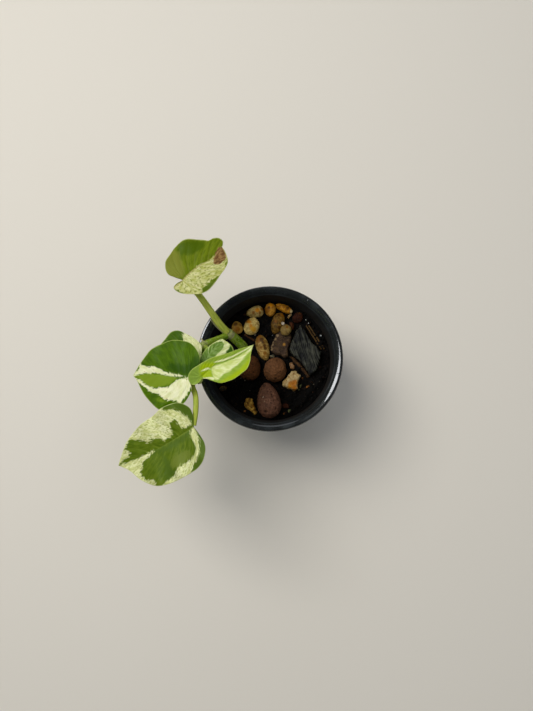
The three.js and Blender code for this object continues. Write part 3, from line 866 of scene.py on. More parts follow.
@dataclass
class PottingMix:
    """The filling: a lumpy surface, loose crumbs and fibres on it, and a few pale grains."""

    sides: int = 220
    rings: int = 84
    low: float = 1.5
    side_gap: float = 0.45
    open_part: str = "top"
    rim_dip: float = 0.8
    rim_width: float = 3.9
    flat_rim: float = 0.1
    reliefs: tuple[tuple[float, float, str], ...] = (
        (2.6, 1.5, "CLOUDS"), (1.1, 0.9, "CLOUDS"), (0.6, 0.3, "STUCCI"),
    )
    crumbs: int = 1500
    brown_crumbs: int = 110
    fibres: int = 130
    pale_grains: int = 46
    lump_shapes: int = 4
    lump_spread: Pair = (0.65, 1.25)
    lump_height: float = 0.75
    wall_room: float = 1.2
    small_crumbs: float = 2.5
    grit_lift: float = 0.3
    seed: int = 11
    # The mix and its crumbs are near black: the wet bark's own colour, deepened with painted shade.
    earth: EarthFinish = EarthFinish("composted_bark_mix", "#040302", "#120a05", 0.1, 0.9)
    bark: EarthFinish = EarthFinish("bark_crumbs", "#050403", "#1a0f07", 0.2, 0.8, 2.5)
    warm: EarthFinish = EarthFinish("red_brown_bark_crumbs", "#100803", "#301b0b", 0.35, 0.8, 2.0)
    fibre: EarthFinish = EarthFinish("coir_fibres", "#0b0704", "#2a1d0f", 0.3, 0.85, 3.0)
    pale: EarthFinish = EarthFinish("perlite_and_grit", "#3a352c", "#8a8270", 0.4, 0.9, 1.6)
    grit: tuple[Grit, ...] = (
        Grit("mix_white_grit", EarthFinish("perlite_crumbs", "#8d9294", "#c8ccca", 0.5, 0.8, 0.8), (
            (32.4, 16.0, 0.75, 0.7, 0), (1.4, 16.3, 0.6, 0.5, 20), (23.3, 25.8, 1.3, 0.4, -50),
            (24.5, 24.2, 0.9, 0.35, -70), (20.6, 27.4, 0.6, 0.4, 30), (-19.1, 14.8, 0.7, 0.5, 0),
        )),
        Grit("mix_tan_grit", EarthFinish("broken_bark_and_clay", "#4a2c10", "#80501c", 0.5, 0.85, 1.2), (
            (20.4, -11.5, 0.9, 0.8, 0), (24.0, -16.9, 1.6, 0.8, 20), (-16.3, -32.6, 1.0, 0.7, 0),
            (8.6, -34.2, 0.8, 0.6, 40), (26.5, -14.2, 0.8, 0.4, -30), (30.2, 11.6, 0.7, 0.3, -60),
        )),
        Grit("mix_green_grit", EarthFinish("lichened_grit", "#3a3d24", "#6a6c44", 0.5, 0.85, 1.0), (
            (12.0, -32.6, 1.3, 1.0, 60), (19.2, -16.6, 1.5, 0.5, 70), (17.9, -19.2, 1.1, 0.6, 55),
        )),
    )

    def build(self, pot: NurseryPot) -> None:
        """Build the surface and scatter what lies loose on it.

        Args:
            pot: The pot that holds the mix.
        """
        self.radius = pot.inner_radius(MIX_LEVEL) - self.side_gap
        self.pour(pot.inner_radius(self.low) - self.side_gap)
        draw = random.Random(self.seed)
        self.scatter("mix_crumbs", self.lumps(draw), self.crumbs, (0.35, 1.25), draw, self.bark)
        self.scatter("mix_bark_crumbs", self.lumps(draw), self.brown_crumbs, (0.5, 1.3), draw, self.warm)
        bent = [self.bent_fibre(bend) for bend in (0.4, 1.1)]
        self.scatter("mix_fibres", bent, self.fibres, (1.2, 4.2), draw, self.fibre, flat=True)
        self.scatter("mix_pale_grains", self.lumps(draw), self.pale_grains, (0.25, 0.6), draw, self.pale)
        for grit in self.grit:
            places = []
            for i, (x, y, long, wide, angle) in enumerate(grit.grains):
                turn = np.array(Matrix.Rotation(math.radians(angle), 3, "Z")) * np.array([long, wide, wide])
                places.append((i % self.lump_shapes, turn, on_mix(x, y, self.grit_lift)))
            self.strew(grit.name, self.lumps(draw), places, grit.finish)

    def pour(self, start: float) -> None:
        """Fill the pot: a closed body whose top is drawn inwards ring by ring, then roughened.

        Args:
            start: The body's radius at its foot, in mm.
        """
        inwards = [(self.radius * (self.rings - i) / self.rings, MIX_LEVEL) for i in range(self.rings)]
        body = ringed("mix_surface", self.sides, [(start, self.low), *inwards], pointed=True)
        places = vertex_array(body.data)
        top = places[:, 2] > MIX_LEVEL - 1
        edge = self.radius - np.hypot(places[:, 0], places[:, 1])
        inside = np.clip((edge - self.flat_rim) / self.rim_width, 0, 1)
        waves = inside * mix_relief(places[:, 0], places[:, 1]) + self.rim_dip * (inside - 1)
        places[top, 2] += waves[top]
        move_vertices(body.data, places)
        group = body.vertex_groups.new(name=self.open_part)
        group.add([int(i) for i in np.flatnonzero(top & (edge > 0.5))], 1.0, "REPLACE")
        # Applying a modifier frees the group object, so only its name is used from here on.
        for size, height, kind in self.reliefs:
            displace(body, size, height, kind, self.open_part)
        dress(body, self.earth.make(), 50)
        show(body, "potting_mix", "potting_mix")

    def lumps(self, draw: random.Random) -> list[Object]:
        """Make a few broken lumps, a millimetre in radius, to copy from.

        Args:
            draw: The seeded random draw.

        Returns:
            The lumps.
        """
        shapes = []
        for i in range(self.lump_shapes):
            lump = added(f"crumb_shape_{i}", bpy.ops.mesh.primitive_ico_sphere_add, subdivisions=1, radius=MM)
            places = vertex_array(lump.data)
            places *= np.array([[draw.uniform(*self.lump_spread)] for _ in places])
            places[:, 2] *= self.lump_height
            move_vertices(lump.data, places)
            shapes.append(lump)
        return shapes

    def bent_fibre(self, bend: float) -> Object:
        """Make a thin bent fibre, 2 mm long, to copy from.

        Args:
            bend: How far it turns from end to end, in radians.

        Returns:
            The fibre.
        """
        fibre = added(
            "fibre_shape", bpy.ops.mesh.primitive_cylinder_add, vertices=5, radius=0.07 * MM, depth=2 * MM,
            rotation=(0, math.pi / 2, 0),
        )
        with editing(fibre):
            for cut in (0.5, -0.5, 0.0):
                bpy.ops.mesh.select_all(action="SELECT")
                bpy.ops.mesh.bisect(plane_co=(cut * MM, 0, 0), plane_no=(1, 0, 0))
        apply_modifier(fibre, "SIMPLE_DEFORM", deform_method="BEND", deform_axis="Z", angle=bend)
        return fibre

    def scatter(
        self, name: str, shapes: list[Object], count: int, sizes: Pair, draw: random.Random,
        finish: EarthFinish, flat: bool = False,
    ) -> None:
        """Strew copies of a few shapes over the mix by chance, as one mesh.

        Args:
            name: The piece's name.
            shapes: The shapes, which are removed afterwards.
            count: How many copies lie on the mix.
            sizes: The least and the most that a shape is scaled.
            draw: The seeded random draw.
            finish: The copies' finish.
            flat: Whether the copies lie flat.
        """
        places = []
        for _ in range(count):
            which = draw.randrange(len(shapes))
            angle = draw.uniform(0, FULL_TURN)
            reach = (self.radius - self.wall_room) * math.sqrt(draw.random())
            least, most = sizes
            if flat:
                size = draw.uniform(*sizes)
            else:
                size = least + (most - least) * draw.random() ** self.small_crumbs
            lean = draw.uniform(-0.25, 0.25) if flat else draw.uniform(-math.pi, math.pi)
            turn = Matrix.Rotation(draw.uniform(0, FULL_TURN), 3, "Z") @ Matrix.Rotation(lean, 3, "Y")
            scale = np.array([size, 1.0, 1.0]) if flat else size
            place = on_mix(reach * math.cos(angle), reach * math.sin(angle), 0.55 if flat else 0.25 * size)
            places.append((which, np.array(turn) * scale, place))
        self.strew(name, shapes, places, finish)

    def strew(self, name: str, shapes: list[Object], places: list[tuple], finish: EarthFinish) -> None:
        """Copy shapes to places on the mix, as one mesh.

        Args:
            name: The piece's name.
            shapes: The shapes, which are removed afterwards.
            places: For each copy, which shape it is, its turn and scale, and its place.
            finish: The copies' finish.
        """
        rows = []
        faces = []
        total = 0
        shape_rows = [vertex_array(shape.data) for shape in shapes]
        shape_faces = [[tuple(face.vertices) for face in shape.data.polygons] for shape in shapes]
        for which, turn, place in places:
            placed = shape_rows[which] @ turn.T + np.array(place)
            rows.append(placed)
            faces.extend(tuple(index + total for index in face) for face in shape_faces[which])
            total += len(placed)
        for shape in shapes:
            bpy.data.objects.remove(shape)
        piece = mesh_object(name, np.concatenate(rows), faces)
        dress(piece, finish.make(), 40)
        show(piece, "potting_mix")


# Stones, clay balls, charcoal and bark


OCHRE, ORANGE, RUST, DARK_RUST = "#bd8a1c", "#a86a04", "#6c4204", "#3a2002"
# The pale colour also paints the glints on the large clay ball.
PIT, PALE_AND_GLINT, EDGE, AMBER = "#110804", "#b5a478", "#7a664a", "#8c5200"


@dataclass(frozen=True)
class StoneFinish:
    """A stone: a ground colour with cloudy bands and cracks, and spots at plan places with a reach, in mm."""

    name: str
    ground: str
    band: str
    line: str = RUST
    spots: tuple[tuple[float, float, float, str], ...] = ()
    band_size: float = 2.6
    cracks: float = 0.6
    roughness: float = 0.6
    pits: float = 0.0
    tooth: float = 0.2

    def make(self) -> Material:
        """Make the material: mottled ground, cracks, soft-edged spots, dark pits if any, and a fine tooth.

        Returns:
            The material.
        """
        paint = Paint(self.name, Roughness=self.roughness, IOR=1.5, Specular_IOR_Level=0.12)
        # Each field's size in mm, its detail and its twist
        sizes = {
            "clouds": (self.band_size, 7.0, 0.8),
            "seams": (1.7 * self.band_size, 4.0, 1.4),
            "tooth": (0.9, 6.0, 0.0),
        }
        fields = {}
        for name, (size, detail, twist) in sizes.items():
            inputs = {"Scale": per_mm(size), "Detail": detail, "Roughness": 0.65, "Distortion": twist}
            fields[name] = paint.node("TexNoise", {"Vector": paint.place, **inputs})["Fac"]
        clouds, relief = fields["clouds"], fields["tooth"]
        crack = paint.node("Math", {0: fields["seams"], 1: 0.5}, operation="PINGPONG")[0]
        colour = paint.coat(self.ground, self.band, clouds, 0.42, 0.6)
        colour = paint.coat(colour, self.line, crack, 0.455, 0.49, self.cracks)
        plan = paint.node("VectorMath", {0: paint.place, 1: (1, 1, 0)}, operation="MULTIPLY")[0]
        for x, y, reach, tone in self.spots:
            size = reach * MM
            away = paint.node("VectorMath", {0: plan, 1: (x * MM, y * MM, 0)}, operation="DISTANCE")["Value"]
            ragged = paint.node("Math", {0: clouds, 1: 2.6 * size, 2: away}, operation="MULTIPLY_ADD")[0]
            colour = paint.coat(colour, tone, ragged, 2.7 * size, 2.0 * size, 0.9)
        if self.pits:
            holes = paint.node("TexVoronoi", {"Vector": paint.place, "Scale": per_mm(1.1)})["Distance"]
            colour = paint.coat(colour, self.band, relief, 0.42, 0.56, 0.9)
            colour = paint.coat(colour, PIT, holes, 0.26, 0.1, self.pits)
            depth = paint.node("MapRange", {"Value": holes, "From Min": 0.3, "From Max": 0.1})["Result"]
            relief = paint.node("Math", {0: depth, 1: -0.8, 2: relief}, operation="MULTIPLY_ADD")[0]
        return paint.finish(colour, relief, 0.8, self.tooth)


class Form(Enum):
    """How a piece of the dressing is worked up from its solid."""

    PEBBLE = "water-worn"
    CLAY = "fired ball"
    CHIP = "broken"


@dataclass
class Stone:
    """One stone of the dressing, worked up from the CAD node of the same place."""

    node: str
    form: Form
    finish: StoneFinish
    slot: str = "pebble"
    few_faces: int = 200

    def build(self) -> None:
        """Round or roughen a copy of the solid and dress it."""
        piece = copy_of_node(self.node, f"{self.node}_dressed")
        if self.form is Form.CHIP:
            apply_modifier(piece, "REMESH", mode="VOXEL", voxel_size=0.3 * MM)
            displace(piece, 2.2, 1.1)
            displace(piece, 0.9, 0.35, "STUCCI")
        else:
            apply_modifier(piece, "SUBSURF", levels=3 if len(piece.data.polygons) < self.few_faces else 2)
            self.regain_size(piece)
            displace(piece, 4.0, 0.6)
        if self.form is Form.CLAY:
            apply_modifier(piece, "REMESH", mode="VOXEL", voxel_size=0.35 * MM)
            displace(piece, 1.5, 0.85)
            displace(piece, 0.7, 0.45)
            self.sink_pits(piece)
        elif self.form is Form.PEBBLE:
            displace(piece, 0.9, 0.15)
        dress(piece, self.finish.make())
        show(piece, self.slot, self.node)

    def sink_pits(self, piece: Object) -> None:
        """Press the larger pits of a fired ball into its upper side.

        Args:
            piece: The ball.
        """
        places = vertex_array(piece.data)
        upper = places[:, 2] > places[:, 2].mean()
        for x, y, reach, tone in self.finish.spots:
            away = np.hypot(places[:, 0] - x, places[:, 1] - y)
            places[:, 2] -= upper * (tone == PIT) * reach * np.exp(-((away / reach) ** 2))
        move_vertices(piece.data, places)

    def regain_size(self, piece: Object) -> None:
        """Scale a smoothed copy back to the solid's own box.

        Args:
            piece: The copy.
        """
        low, high = (np.array(corner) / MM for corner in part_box(self.node))
        places = vertex_array(piece.data)
        small_low, small_high = places.min(0), places.max(0)
        middle = (small_low + small_high) / 2
        growth = (high - low) / (small_high - small_low)
        move_vertices(piece.data, (places - middle) * growth + (low + high) / 2)


PEBBLE, CLAY, CHIP = Form

DRESSING = (
    Stone("pebble_under_stem", PEBBLE, StoneFinish("tan_river_pebble", "#9f7d36", "#745820", spots=(
        (-22.3, 23.2, 1.2, DARK_RUST), (-21.3, 20, 1.6, RUST),
    ))),
    Stone("pebble_cream", PEBBLE, StoneFinish("cream_river_pebble", "#d2bd78", "#a68e4c", spots=(
        (-15, 25.9, 1.8, RUST), (-13.4, 24.5, 1.2, ORANGE), (-12.4, 21.9, 1.2, ORANGE),
        (-10.9, 20, 1.7, OCHRE),
    ))),
    Stone("pebble_grey", PEBBLE, StoneFinish("grey_cream_river_pebble", "#b29c60", "#72643a", spots=(
        (-8.4, 32.2, 1.3, ORANGE), (-10.9, 30.6, 0.9, RUST), (-6.8, 30.6, 0.8, RUST), (-5.2, 33, 1, RUST),
    ))),
    Stone("pebble_orange", PEBBLE, StoneFinish("orange_river_pebble", "#a87a2c", "#7e5214", spots=(
        (-2.4, 32.3, 1.8, RUST), (0.4, 35.7, 1.4, ORANGE), (-0.9, 34, 0.8, DARK_RUST),
    ))),
    Stone("pebble_long", PEBBLE, StoneFinish("ochre_river_pebble", "#a8751c", "#744808", spots=(
        (6, 34.9, 0.8, RUST), (8.6, 34.2, 0.8, RUST), (11.1, 33.5, 1.1, DARK_RUST), (10.1, 32.5, 0.7, RUST),
        (13.9, 31.4, 1.2, PALE_AND_GLINT),
    ))),
    Stone("pebble_streaked", PEBBLE, StoneFinish("streaked_river_pebble", "#765820", "#443006", DARK_RUST, (
        (8.2, 29.4, 1.4, RUST), (3.5, 24.7, 1.2, RUST), (5.7, 20.9, 0.9, DARK_RUST),
        (5.4, 29.1, 0.9, DARK_RUST),
    ), 1.8, 0.9)),
    Stone("pebble_round", PEBBLE, StoneFinish("pale_tan_river_pebble", "#7a6636", "#5c4a26", spots=(
        (10.7, 20.6, 0.8, RUST),
    ), cracks=0.3)),
    Stone("pebble_stained", PEBBLE, StoneFinish("tan_pebble_with_iron_stain", "#a68b4e", "#664c1a", spots=(
        (-7.7, 15.2, 1.9, RUST), (-8, 12.4, 1.3, RUST), (-5.4, 13.3, 1.2, DARK_RUST),
        (-4.6, 11.3, 1, DARK_RUST), (-3.8, 9.3, 1, DARK_RUST), (-3.3, 7.4, 1, DARK_RUST),
        (-6, 8, 0.8, RUST), (-3.5, 4.4, 1, RUST),
    ))),
    Stone("rough_stone", CHIP, StoneFinish("rough_mauve_stone", "#403024", "#2c2017", "#66512f", (
        (8.8, 9.9, 0.9, "#8a6428"), (1.4, 9.6, 0.8, EDGE), (3, 13.4, 0.8, EDGE), (4.6, 15.9, 0.8, EDGE),
        (0.8, 6.8, 0.8, EDGE), (1.6, 11.6, 0.7, EDGE), (0.6, 8.1, 0.7, EDGE),
    ), 3.0, 0.25, 0.8, tooth=0.4)),
    Stone("clay_ball_left", CLAY, StoneFinish("fired_clay_dark", "#553118", "#402611", PIT, (
        (-12.9, -13.2, 0.8, PIT), (-8.4, -12.3, 0.7, PIT), (-15.8, -12.3, 0.8, PIT), (-17.5, -10, 0.5, PIT),
        (-10.7, -8.3, 0.4, PIT), (-7.8, -1.4, 0.5, PIT), (-11, -3.6, 0.5, PIT),
    ), 4.0, 0.3, 0.85, 0.5, 0.5), "clay_ball"),
    Stone("clay_ball_right", CLAY, StoneFinish("fired_clay_brown", "#6e482c", "#54361e", PIT, (
        (4.5, -0.3, 0.8, PIT), (3.3, -12.2, 0.7, PIT), (-0.4, -13.1, 0.5, PIT), (-2.1, -10.8, 0.4, PIT),
        (2.8, -4.5, 0.3, PIT), (6.5, -8, 0.4, PIT),
    ), 4.0, 0.1, 0.8, 0.2, 0.45), "clay_ball"),
    Stone("clay_ball_large", CLAY, StoneFinish("fired_clay_mauve", "#714e3c", "#523628", PIT, (
        (-4, -16.5, 1.1, PIT), (-2.9, -33.1, 0.9, PIT), (0.5, -20.7, 0.5, PIT), (0.8, -22.7, 0.5, PIT),
        (-1.5, -20.5, 0.4, PIT), (-0.4, -19.1, 0.4, PIT), (1.1, -23.9, 0.5, PIT), (2.2, -26.1, 0.4, PIT),
        (0.5, -27.8, 0.4, PIT), (-2.6, -29.5, 0.4, PIT), (3.6, -31.2, 0.5, PIT),
        # The three pale dots below are painted glints.
        (-4.4, -24.1, 0.35, "#f0e6c8"), (-3.6, -26.9, 0.3, PALE_AND_GLINT), (-2, -22.2, 0.25, PALE_AND_GLINT),
    ), 4.0, 0.15, 0.6, 0.45, 0.5), "clay_ball"),
    Stone("grey_chip", CHIP, StoneFinish("grey_green_grit", "#35301f", "#201d12", roughness=0.85)),
    Stone("pink_chip", CHIP, StoneFinish("pinkish_grit", "#87694c", "#5a432d", roughness=0.8)),
    Stone("tan_chip", CHIP, StoneFinish("tan_stone_chip", "#98762f", "#5d3f10", DARK_RUST, (
        (-14.5, -27.5, 0.6, DARK_RUST), (-13.1, -25, 0.5, DARK_RUST), (-10.8, -29.2, 0.9, RUST),
        (-9.4, -32.1, 0.9, DARK_RUST), (-11.9, -30.4, 0.5, DARK_RUST),
    ), 1.6, 0.7, 0.8)),
    Stone("quartz_chip", CHIP, StoneFinish("stained_quartz", "#ad9a70", "#866f44", "#85621e", (
        (14.2, -16, 2.4, AMBER), (15.6, -14.7, 1.6, AMBER), (12.4, -17, 1.3, "#a06a12"),
        (15.5, -18.2, 1.6, AMBER), (11.8, -11, 0.5, RUST), (15, -9, 0.5, RUST), (10.4, -13.3, 0.4, RUST),
    ), 2.4, 0.3, 0.5), "quartz"),
    Stone("quartz_grain", CHIP, StoneFinish(
        "milky_quartz_grain", "#b3a99a", "#8f8676", roughness=0.5,
    ), "quartz"),
    Stone("perlite_grain", CHIP, StoneFinish(
        "perlite_grain_white", "#5c5d4c", "#3e3f33", roughness=0.9,
    ), "quartz"),
    Stone("pale_grain", CHIP, StoneFinish("pale_grit", "#a8966c", "#75613a", roughness=0.8), "quartz"),
    Stone("bark_chip_back", CHIP, StoneFinish("pine_bark_back", "#3a1806", "#1b0903", PIT, (
        (18.6, 30.6, 0.8, DARK_RUST),
    ), 1.6, roughness=0.85), "bark"),
    Stone("bark_chip_side", CHIP, StoneFinish("pine_bark_side", "#46230a", "#2a1203", PIT,
                                              band_size=1.4, roughness=0.85), "bark"),
    Stone("bark_chip_front", CHIP, StoneFinish("pine_bark_front", "#36180a", "#1e0b04", PIT,
                                               band_size=1.4, roughness=0.85), "bark"),
    Stone("bark_sliver", CHIP, StoneFinish("pine_bark_sliver", "#2e1b0c", "#120903", "#5a4020",
                                           band_size=1.2, roughness=0.85), "bark"),
)


@dataclass
class Charcoal:
    """The slab of charred wood, whose grain stands in sharp ridges with pale ash on them."""

    node: str = "charcoal"
    grain_angle: float = -72.0
    ridge_gap: float = 1.1
    ridge_height: float = 0.95
    mean_ridge: float = 0.85
    voxel: float = 0.32
    room: float = 0.4

    def build(self) -> None:
        """Work the grain into a finely divided copy of the solid and dress it."""
        piece = copy_of_node(self.node, "charcoal_slab")
        apply_modifier(piece, "REMESH", mode="VOXEL", voxel_size=self.voxel * MM)
        places = vertex_array(piece.data)
        normals = np.array([vertex.normal for vertex in piece.data.vertices])
        turn = math.radians(self.grain_angle)
        along = places[:, 0] * math.cos(turn) + places[:, 1] * math.sin(turn)
        across = -places[:, 0] * math.sin(turn) + places[:, 1] * math.cos(turn)
        ridges = np.empty(len(places))
        for i, (a, c, z) in enumerate(zip(along, across, places[:, 2])):
            wander = 1.6 * noise.noise(Vector((a / 11, c / 7, z / 9)))
            fine = noise.noise(Vector((a / 7, c / 0.55, z / 1.2)))
            coarse = noise.noise(Vector((a / 16, c / 1.9, z / 4)))
            comb = abs(math.sin(math.pi * (c + wander) / self.ridge_gap))
            ridges[i] = 0.45 * comb + 0.45 * (fine + 0.5) + 0.6 * (coarse + 0.5)
        moved = places + normals * ((ridges - self.mean_ridge) * self.ridge_height)[:, None]
        low, high = (np.array(corner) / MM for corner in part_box(self.node))
        move_vertices(piece.data, np.clip(moved, low - self.room, high + self.room))
        write_attribute(piece.data, "ridge", ridges)
        dress(piece, self.material())
        show(piece, "charcoal", self.node)

    def material(self) -> Material:
        """Make charred wood: soot black in the grooves, grey-green ash on the ridges, a dull sheen.

        Returns:
            The material.
        """
        paint = Paint("charred_wood", Roughness=0.7, IOR=1.5, Specular_IOR_Level=0.25)
        ridge = paint.node("Attribute", attribute_name="ridge")["Fac"]
        smudge = paint.node("TexNoise", {"Vector": paint.place, "Scale": per_mm(3.5), "Detail": 6.0})["Fac"]
        uneven = paint.node("Math", {0: smudge, 1: 1.6, 2: ridge}, operation="MULTIPLY_ADD")[0]
        tooth = paint.node("TexNoise", {"Vector": paint.place, "Scale": per_mm(0.4), "Detail": 4.0})["Fac"]
        return paint.finish(paint.coat("#030403", "#3d3e33", uneven, 1.4, 2.2), tooth, 0.5, 0.1)


# Stalks: petioles, vine, straws and twig


@dataclass(frozen=True)
class StalkFinish:
    """A stalk's skin: streaks that run along it and small flecks over them."""

    name: str
    light: str
    shade: str
    fleck: str
    fleck_share: float = 0.3
    joint: str = "#5a4a30"
    roughness: float = 0.42
    sheen: float = 0.05

    def make(self) -> Material:
        """Make the material: long streaks, flecks, a dry tone at the joints, and a fine wax bump.

        Returns:
            The material.
        """
        paint = Paint(
            self.name, Roughness=self.roughness, IOR=1.42, Specular_IOR_Level=0.12,
            Subsurface_Weight=self.sheen, Subsurface_Scale=MM,
        )
        run = paint.node("Attribute", attribute_name="stalk_place")["Vector"]
        dry = paint.node("Attribute", attribute_name="dry")["Fac"]
        streaks = paint.node(
            "TexNoise", {"Vector": run, "Scale": 1.0, "Detail": 4.0, "Roughness": 0.6}
        )["Fac"]
        dots = paint.node(
            "TexNoise", {"Vector": paint.place, "Scale": per_mm(0.7), "Detail": 3.0, "Roughness": 0.5}
        )["Fac"]
        ragged = paint.node("Math", {0: dots, 1: 0.8, 2: dry}, operation="MULTIPLY_ADD")[0]
        colour = paint.coat(self.light, self.shade, streaks, 0.4, 0.62)
        colour = paint.coat(colour, self.fleck, dots, 0.58, 0.66, self.fleck_share)
        colour = paint.coat(colour, self.joint, ragged, 0.62, 1.0)
        return paint.finish(colour, streaks, 0.3, 0.08)


@dataclass
class Stalk:
    """A round stalk of changing thickness that follows a route."""

    route: tuple[Place, ...]
    radii: tuple[float, ...]
    sides: int = 24
    ring_gap: float = 0.6
    flatten: float = 1.0
    groove: float = 0.0
    groove_turn: float = 0.45
    streak_length: float = 9.0
    streaks_across: float = 2.2

    def build(self, name: str, finish: StalkFinish | None = None) -> Object:
        """Make a straight rod, ring by ring, and lay it along the route with a Curve modifier.

        Args:
            name: The stalk's name.
            finish: Its finish, or nothing where it becomes part of a larger piece.

        Returns:
            The stalk, with the place on it of each vertex kept in an attribute.
        """
        line = smooth_line(self.route, 8)
        length = float(np.linalg.norm(np.diff(line, axis=0), axis=1).sum())
        rod = added(
            name, bpy.ops.mesh.primitive_cylinder_add, vertices=self.sides, radius=MM, depth=length * MM,
            end_fill_type="TRIFAN", rotation=(0, math.pi / 2, 0), location=(length / 2 * MM, 0, 0),
        )
        with editing(rod):
            bpy.ops.mesh.select_mode(type="EDGE")
            bpy.ops.mesh.select_all(action="DESELECT")
        for edge in rod.data.edges:
            start, end = (rod.data.vertices[index].co.x for index in edge.vertices)
            edge.select = abs(start - end) > length / 2 * MM
        bpy.ops.object.mode_set(mode="EDIT")
        bpy.ops.mesh.subdivide(number_cuts=max(2, int(length / self.ring_gap)))
        bpy.ops.mesh.select_mode(type="VERT")
        bpy.ops.object.mode_set(mode="OBJECT")
        places = vertex_array(rod.data)
        around = np.arctan2(places[:, 2], places[:, 1])
        wrapped = np.stack([np.cos(around), np.sin(around)], axis=1) * self.streaks_across
        run = np.concatenate([places[:, :1] / self.streak_length, wrapped], axis=1)
        write_attribute(rod.data, "stalk_place", run)
        write_attribute(rod.data, "dry", np.zeros(len(places)))
        dip = 1 - self.groove * np.exp(-((around - math.pi / 2) / self.groove_turn) ** 2)
        places[:, 1:] *= dip[:, None]
        places[:, 2] *= self.flatten
        move_vertices(rod.data, places)
        path = self.path(line)
        apply_modifier(rod, "CURVE", object=path, deform_axis="POS_X")
        bpy.data.objects.remove(path)
        if finish:
            dress(rod, finish.make())
        return rod

    def path(self, line: np.ndarray) -> Object:
        """Make the curve that bends the rod and gives it its thickness.

        Args:
            line: The points that it runs through, in mm.

        Returns:
            The curve's object.
        """
        curve = bpy.data.curves.new("stalk_path", "CURVE")
        curve.dimensions = "3D"
        curve.use_radius = True
        spline = curve.splines.new("POLY")
        spline.points.add(len(line) - 1)
        last = len(self.radii) - 1
        radii = np.interp(np.linspace(0, last, len(line)), np.arange(last + 1), self.radii)
        for point, place, radius in zip(spline.points, line, radii):
            point.co = (*(place * MM), 1)
            point.radius = float(radius)
        return linked("stalk_path", curve)


@dataclass
class Vine:
    """The rooted cutting and the shoot that leaves it over the rim, grown together at swollen joints."""

    cutting: tuple[Place, ...] = (
        (-16.2, 7, 46), (-17.2, 8.3, 56), (-18.2, 9.4, 66), (-21.8, 12.7, 72), (-25.9, 15.6, 77),
    )
    cutting_radii: tuple[float, ...] = (3.1, 3.2, 3.3, 3.1, 2.9)
    shoot: tuple[Place, ...] = (
        (-25.4, 15.2, 76.6), (-33.4, 10.9, 84), (-40.6, 6.3, 90.5), (-42.8, -0.5, 92.8),
        (-44.6, -7.5, 95.2), (-45.8, -13, 98), (-45.4, -16.6, 101.8),
    )
    shoot_radii: tuple[float, ...] = (2.2, 2.1, 2.3, 2, 2.1, 2, 1.7)
    joints: tuple[tuple[Place, Place], ...] = (
        ((-16.2, 7, 46), (3.6, 3.6, 2.4)),
        ((-25.9, 15.6, 77), (3.3, 3.3, 3)),
        ((-40.6, 6.3, 90.5), (2.7, 2.9, 2.6)),
        ((-45.4, -16.6, 101.8), (2, 2, 2.1)),
    )
    root_nubs: tuple[tuple[Place, ...], ...] = (
        ((-40.2, 6.8, 90), (-41, 9.4, 88.6), (-42.4, 11.6, 86.2)),
        ((-40.8, 6, 89.6), (-43.2, 7.6, 87.4), (-45, 8.2, 85.4)),
        ((-26.8, 15.2, 78.6), (-29.7, 16.5, 82.4), (-33.1, 19.1, 87.6), (-35.9, 22.6, 93)),
    )
    nub_radii: tuple[float, ...] = (0.9, 0.7, 0.45)
    voxel: float = 0.28
    skin: StalkFinish = StalkFinish("waxy_green_stem", "#7d9426", "#4a6a06", "#b9c18a", 0.55, "#94906a")

    def build(self) -> None:
        """Grow the stems and joints into one body and dress it."""
        parts = [
            Stalk(self.cutting, self.cutting_radii).build("cutting"),
            Stalk(self.shoot, self.shoot_radii).build("shoot"),
            *(Stalk(route, self.nub_radii, sides=12).build("root_nub") for route in self.root_nubs),
        ]
        for at, size in self.joints:
            parts.append(added(
                "joint", bpy.ops.mesh.primitive_uv_sphere_add, segments=24, ring_count=14, radius=1,
                location=[side * MM for side in at], scale=[side * MM for side in size],
            ))
        vine = joined("rooted_cutting_and_shoot", *parts)
        apply_modifier(vine, "REMESH", mode="VOXEL", voxel_size=self.voxel * MM)
        apply_modifier(vine, "SMOOTH", factor=0.5, iterations=10)
        displace(vine, 2.6, 0.35)
        self.mark(vine)
        dress(vine, self.skin.make())
        show(vine, "stem_green", "vine")

    def mark(self, vine: Object) -> None:
        """Store each vertex's place along the stems, and how dry the skin is there.

        Args:
            vine: The stems, grown together.
        """
        places = vertex_array(vine.data)
        line = np.concatenate([smooth_line(self.cutting, 10), smooth_line(self.shoot, 10)])
        apart = np.linalg.norm(places[:, None, :] - line[None, :, :], axis=2)
        nearest = apart.argmin(axis=1)
        offset = places - line[nearest]
        run = np.concatenate([(nearest * 0.12)[:, None], offset[:, :2] * 0.9], axis=1)
        write_attribute(vine.data, "stalk_place", run)
        dry = np.zeros(len(places))
        for route in self.root_nubs:
            nub = smooth_line(route[1:], 8)
            close = np.linalg.norm(places[:, None, :] - nub[None, :, :], axis=2).min(axis=1)
            dry = np.maximum(dry, np.clip(1.7 - close, 0, 1))
        for at, size in self.joints[1:3]:
            ring = np.linalg.norm((places - np.array(at)) / np.array(size), axis=1)
            dry = np.maximum(dry, 0.55 * np.exp(-((ring - 1.05) / 0.12) ** 2))
        write_attribute(vine.data, "dry", dry)


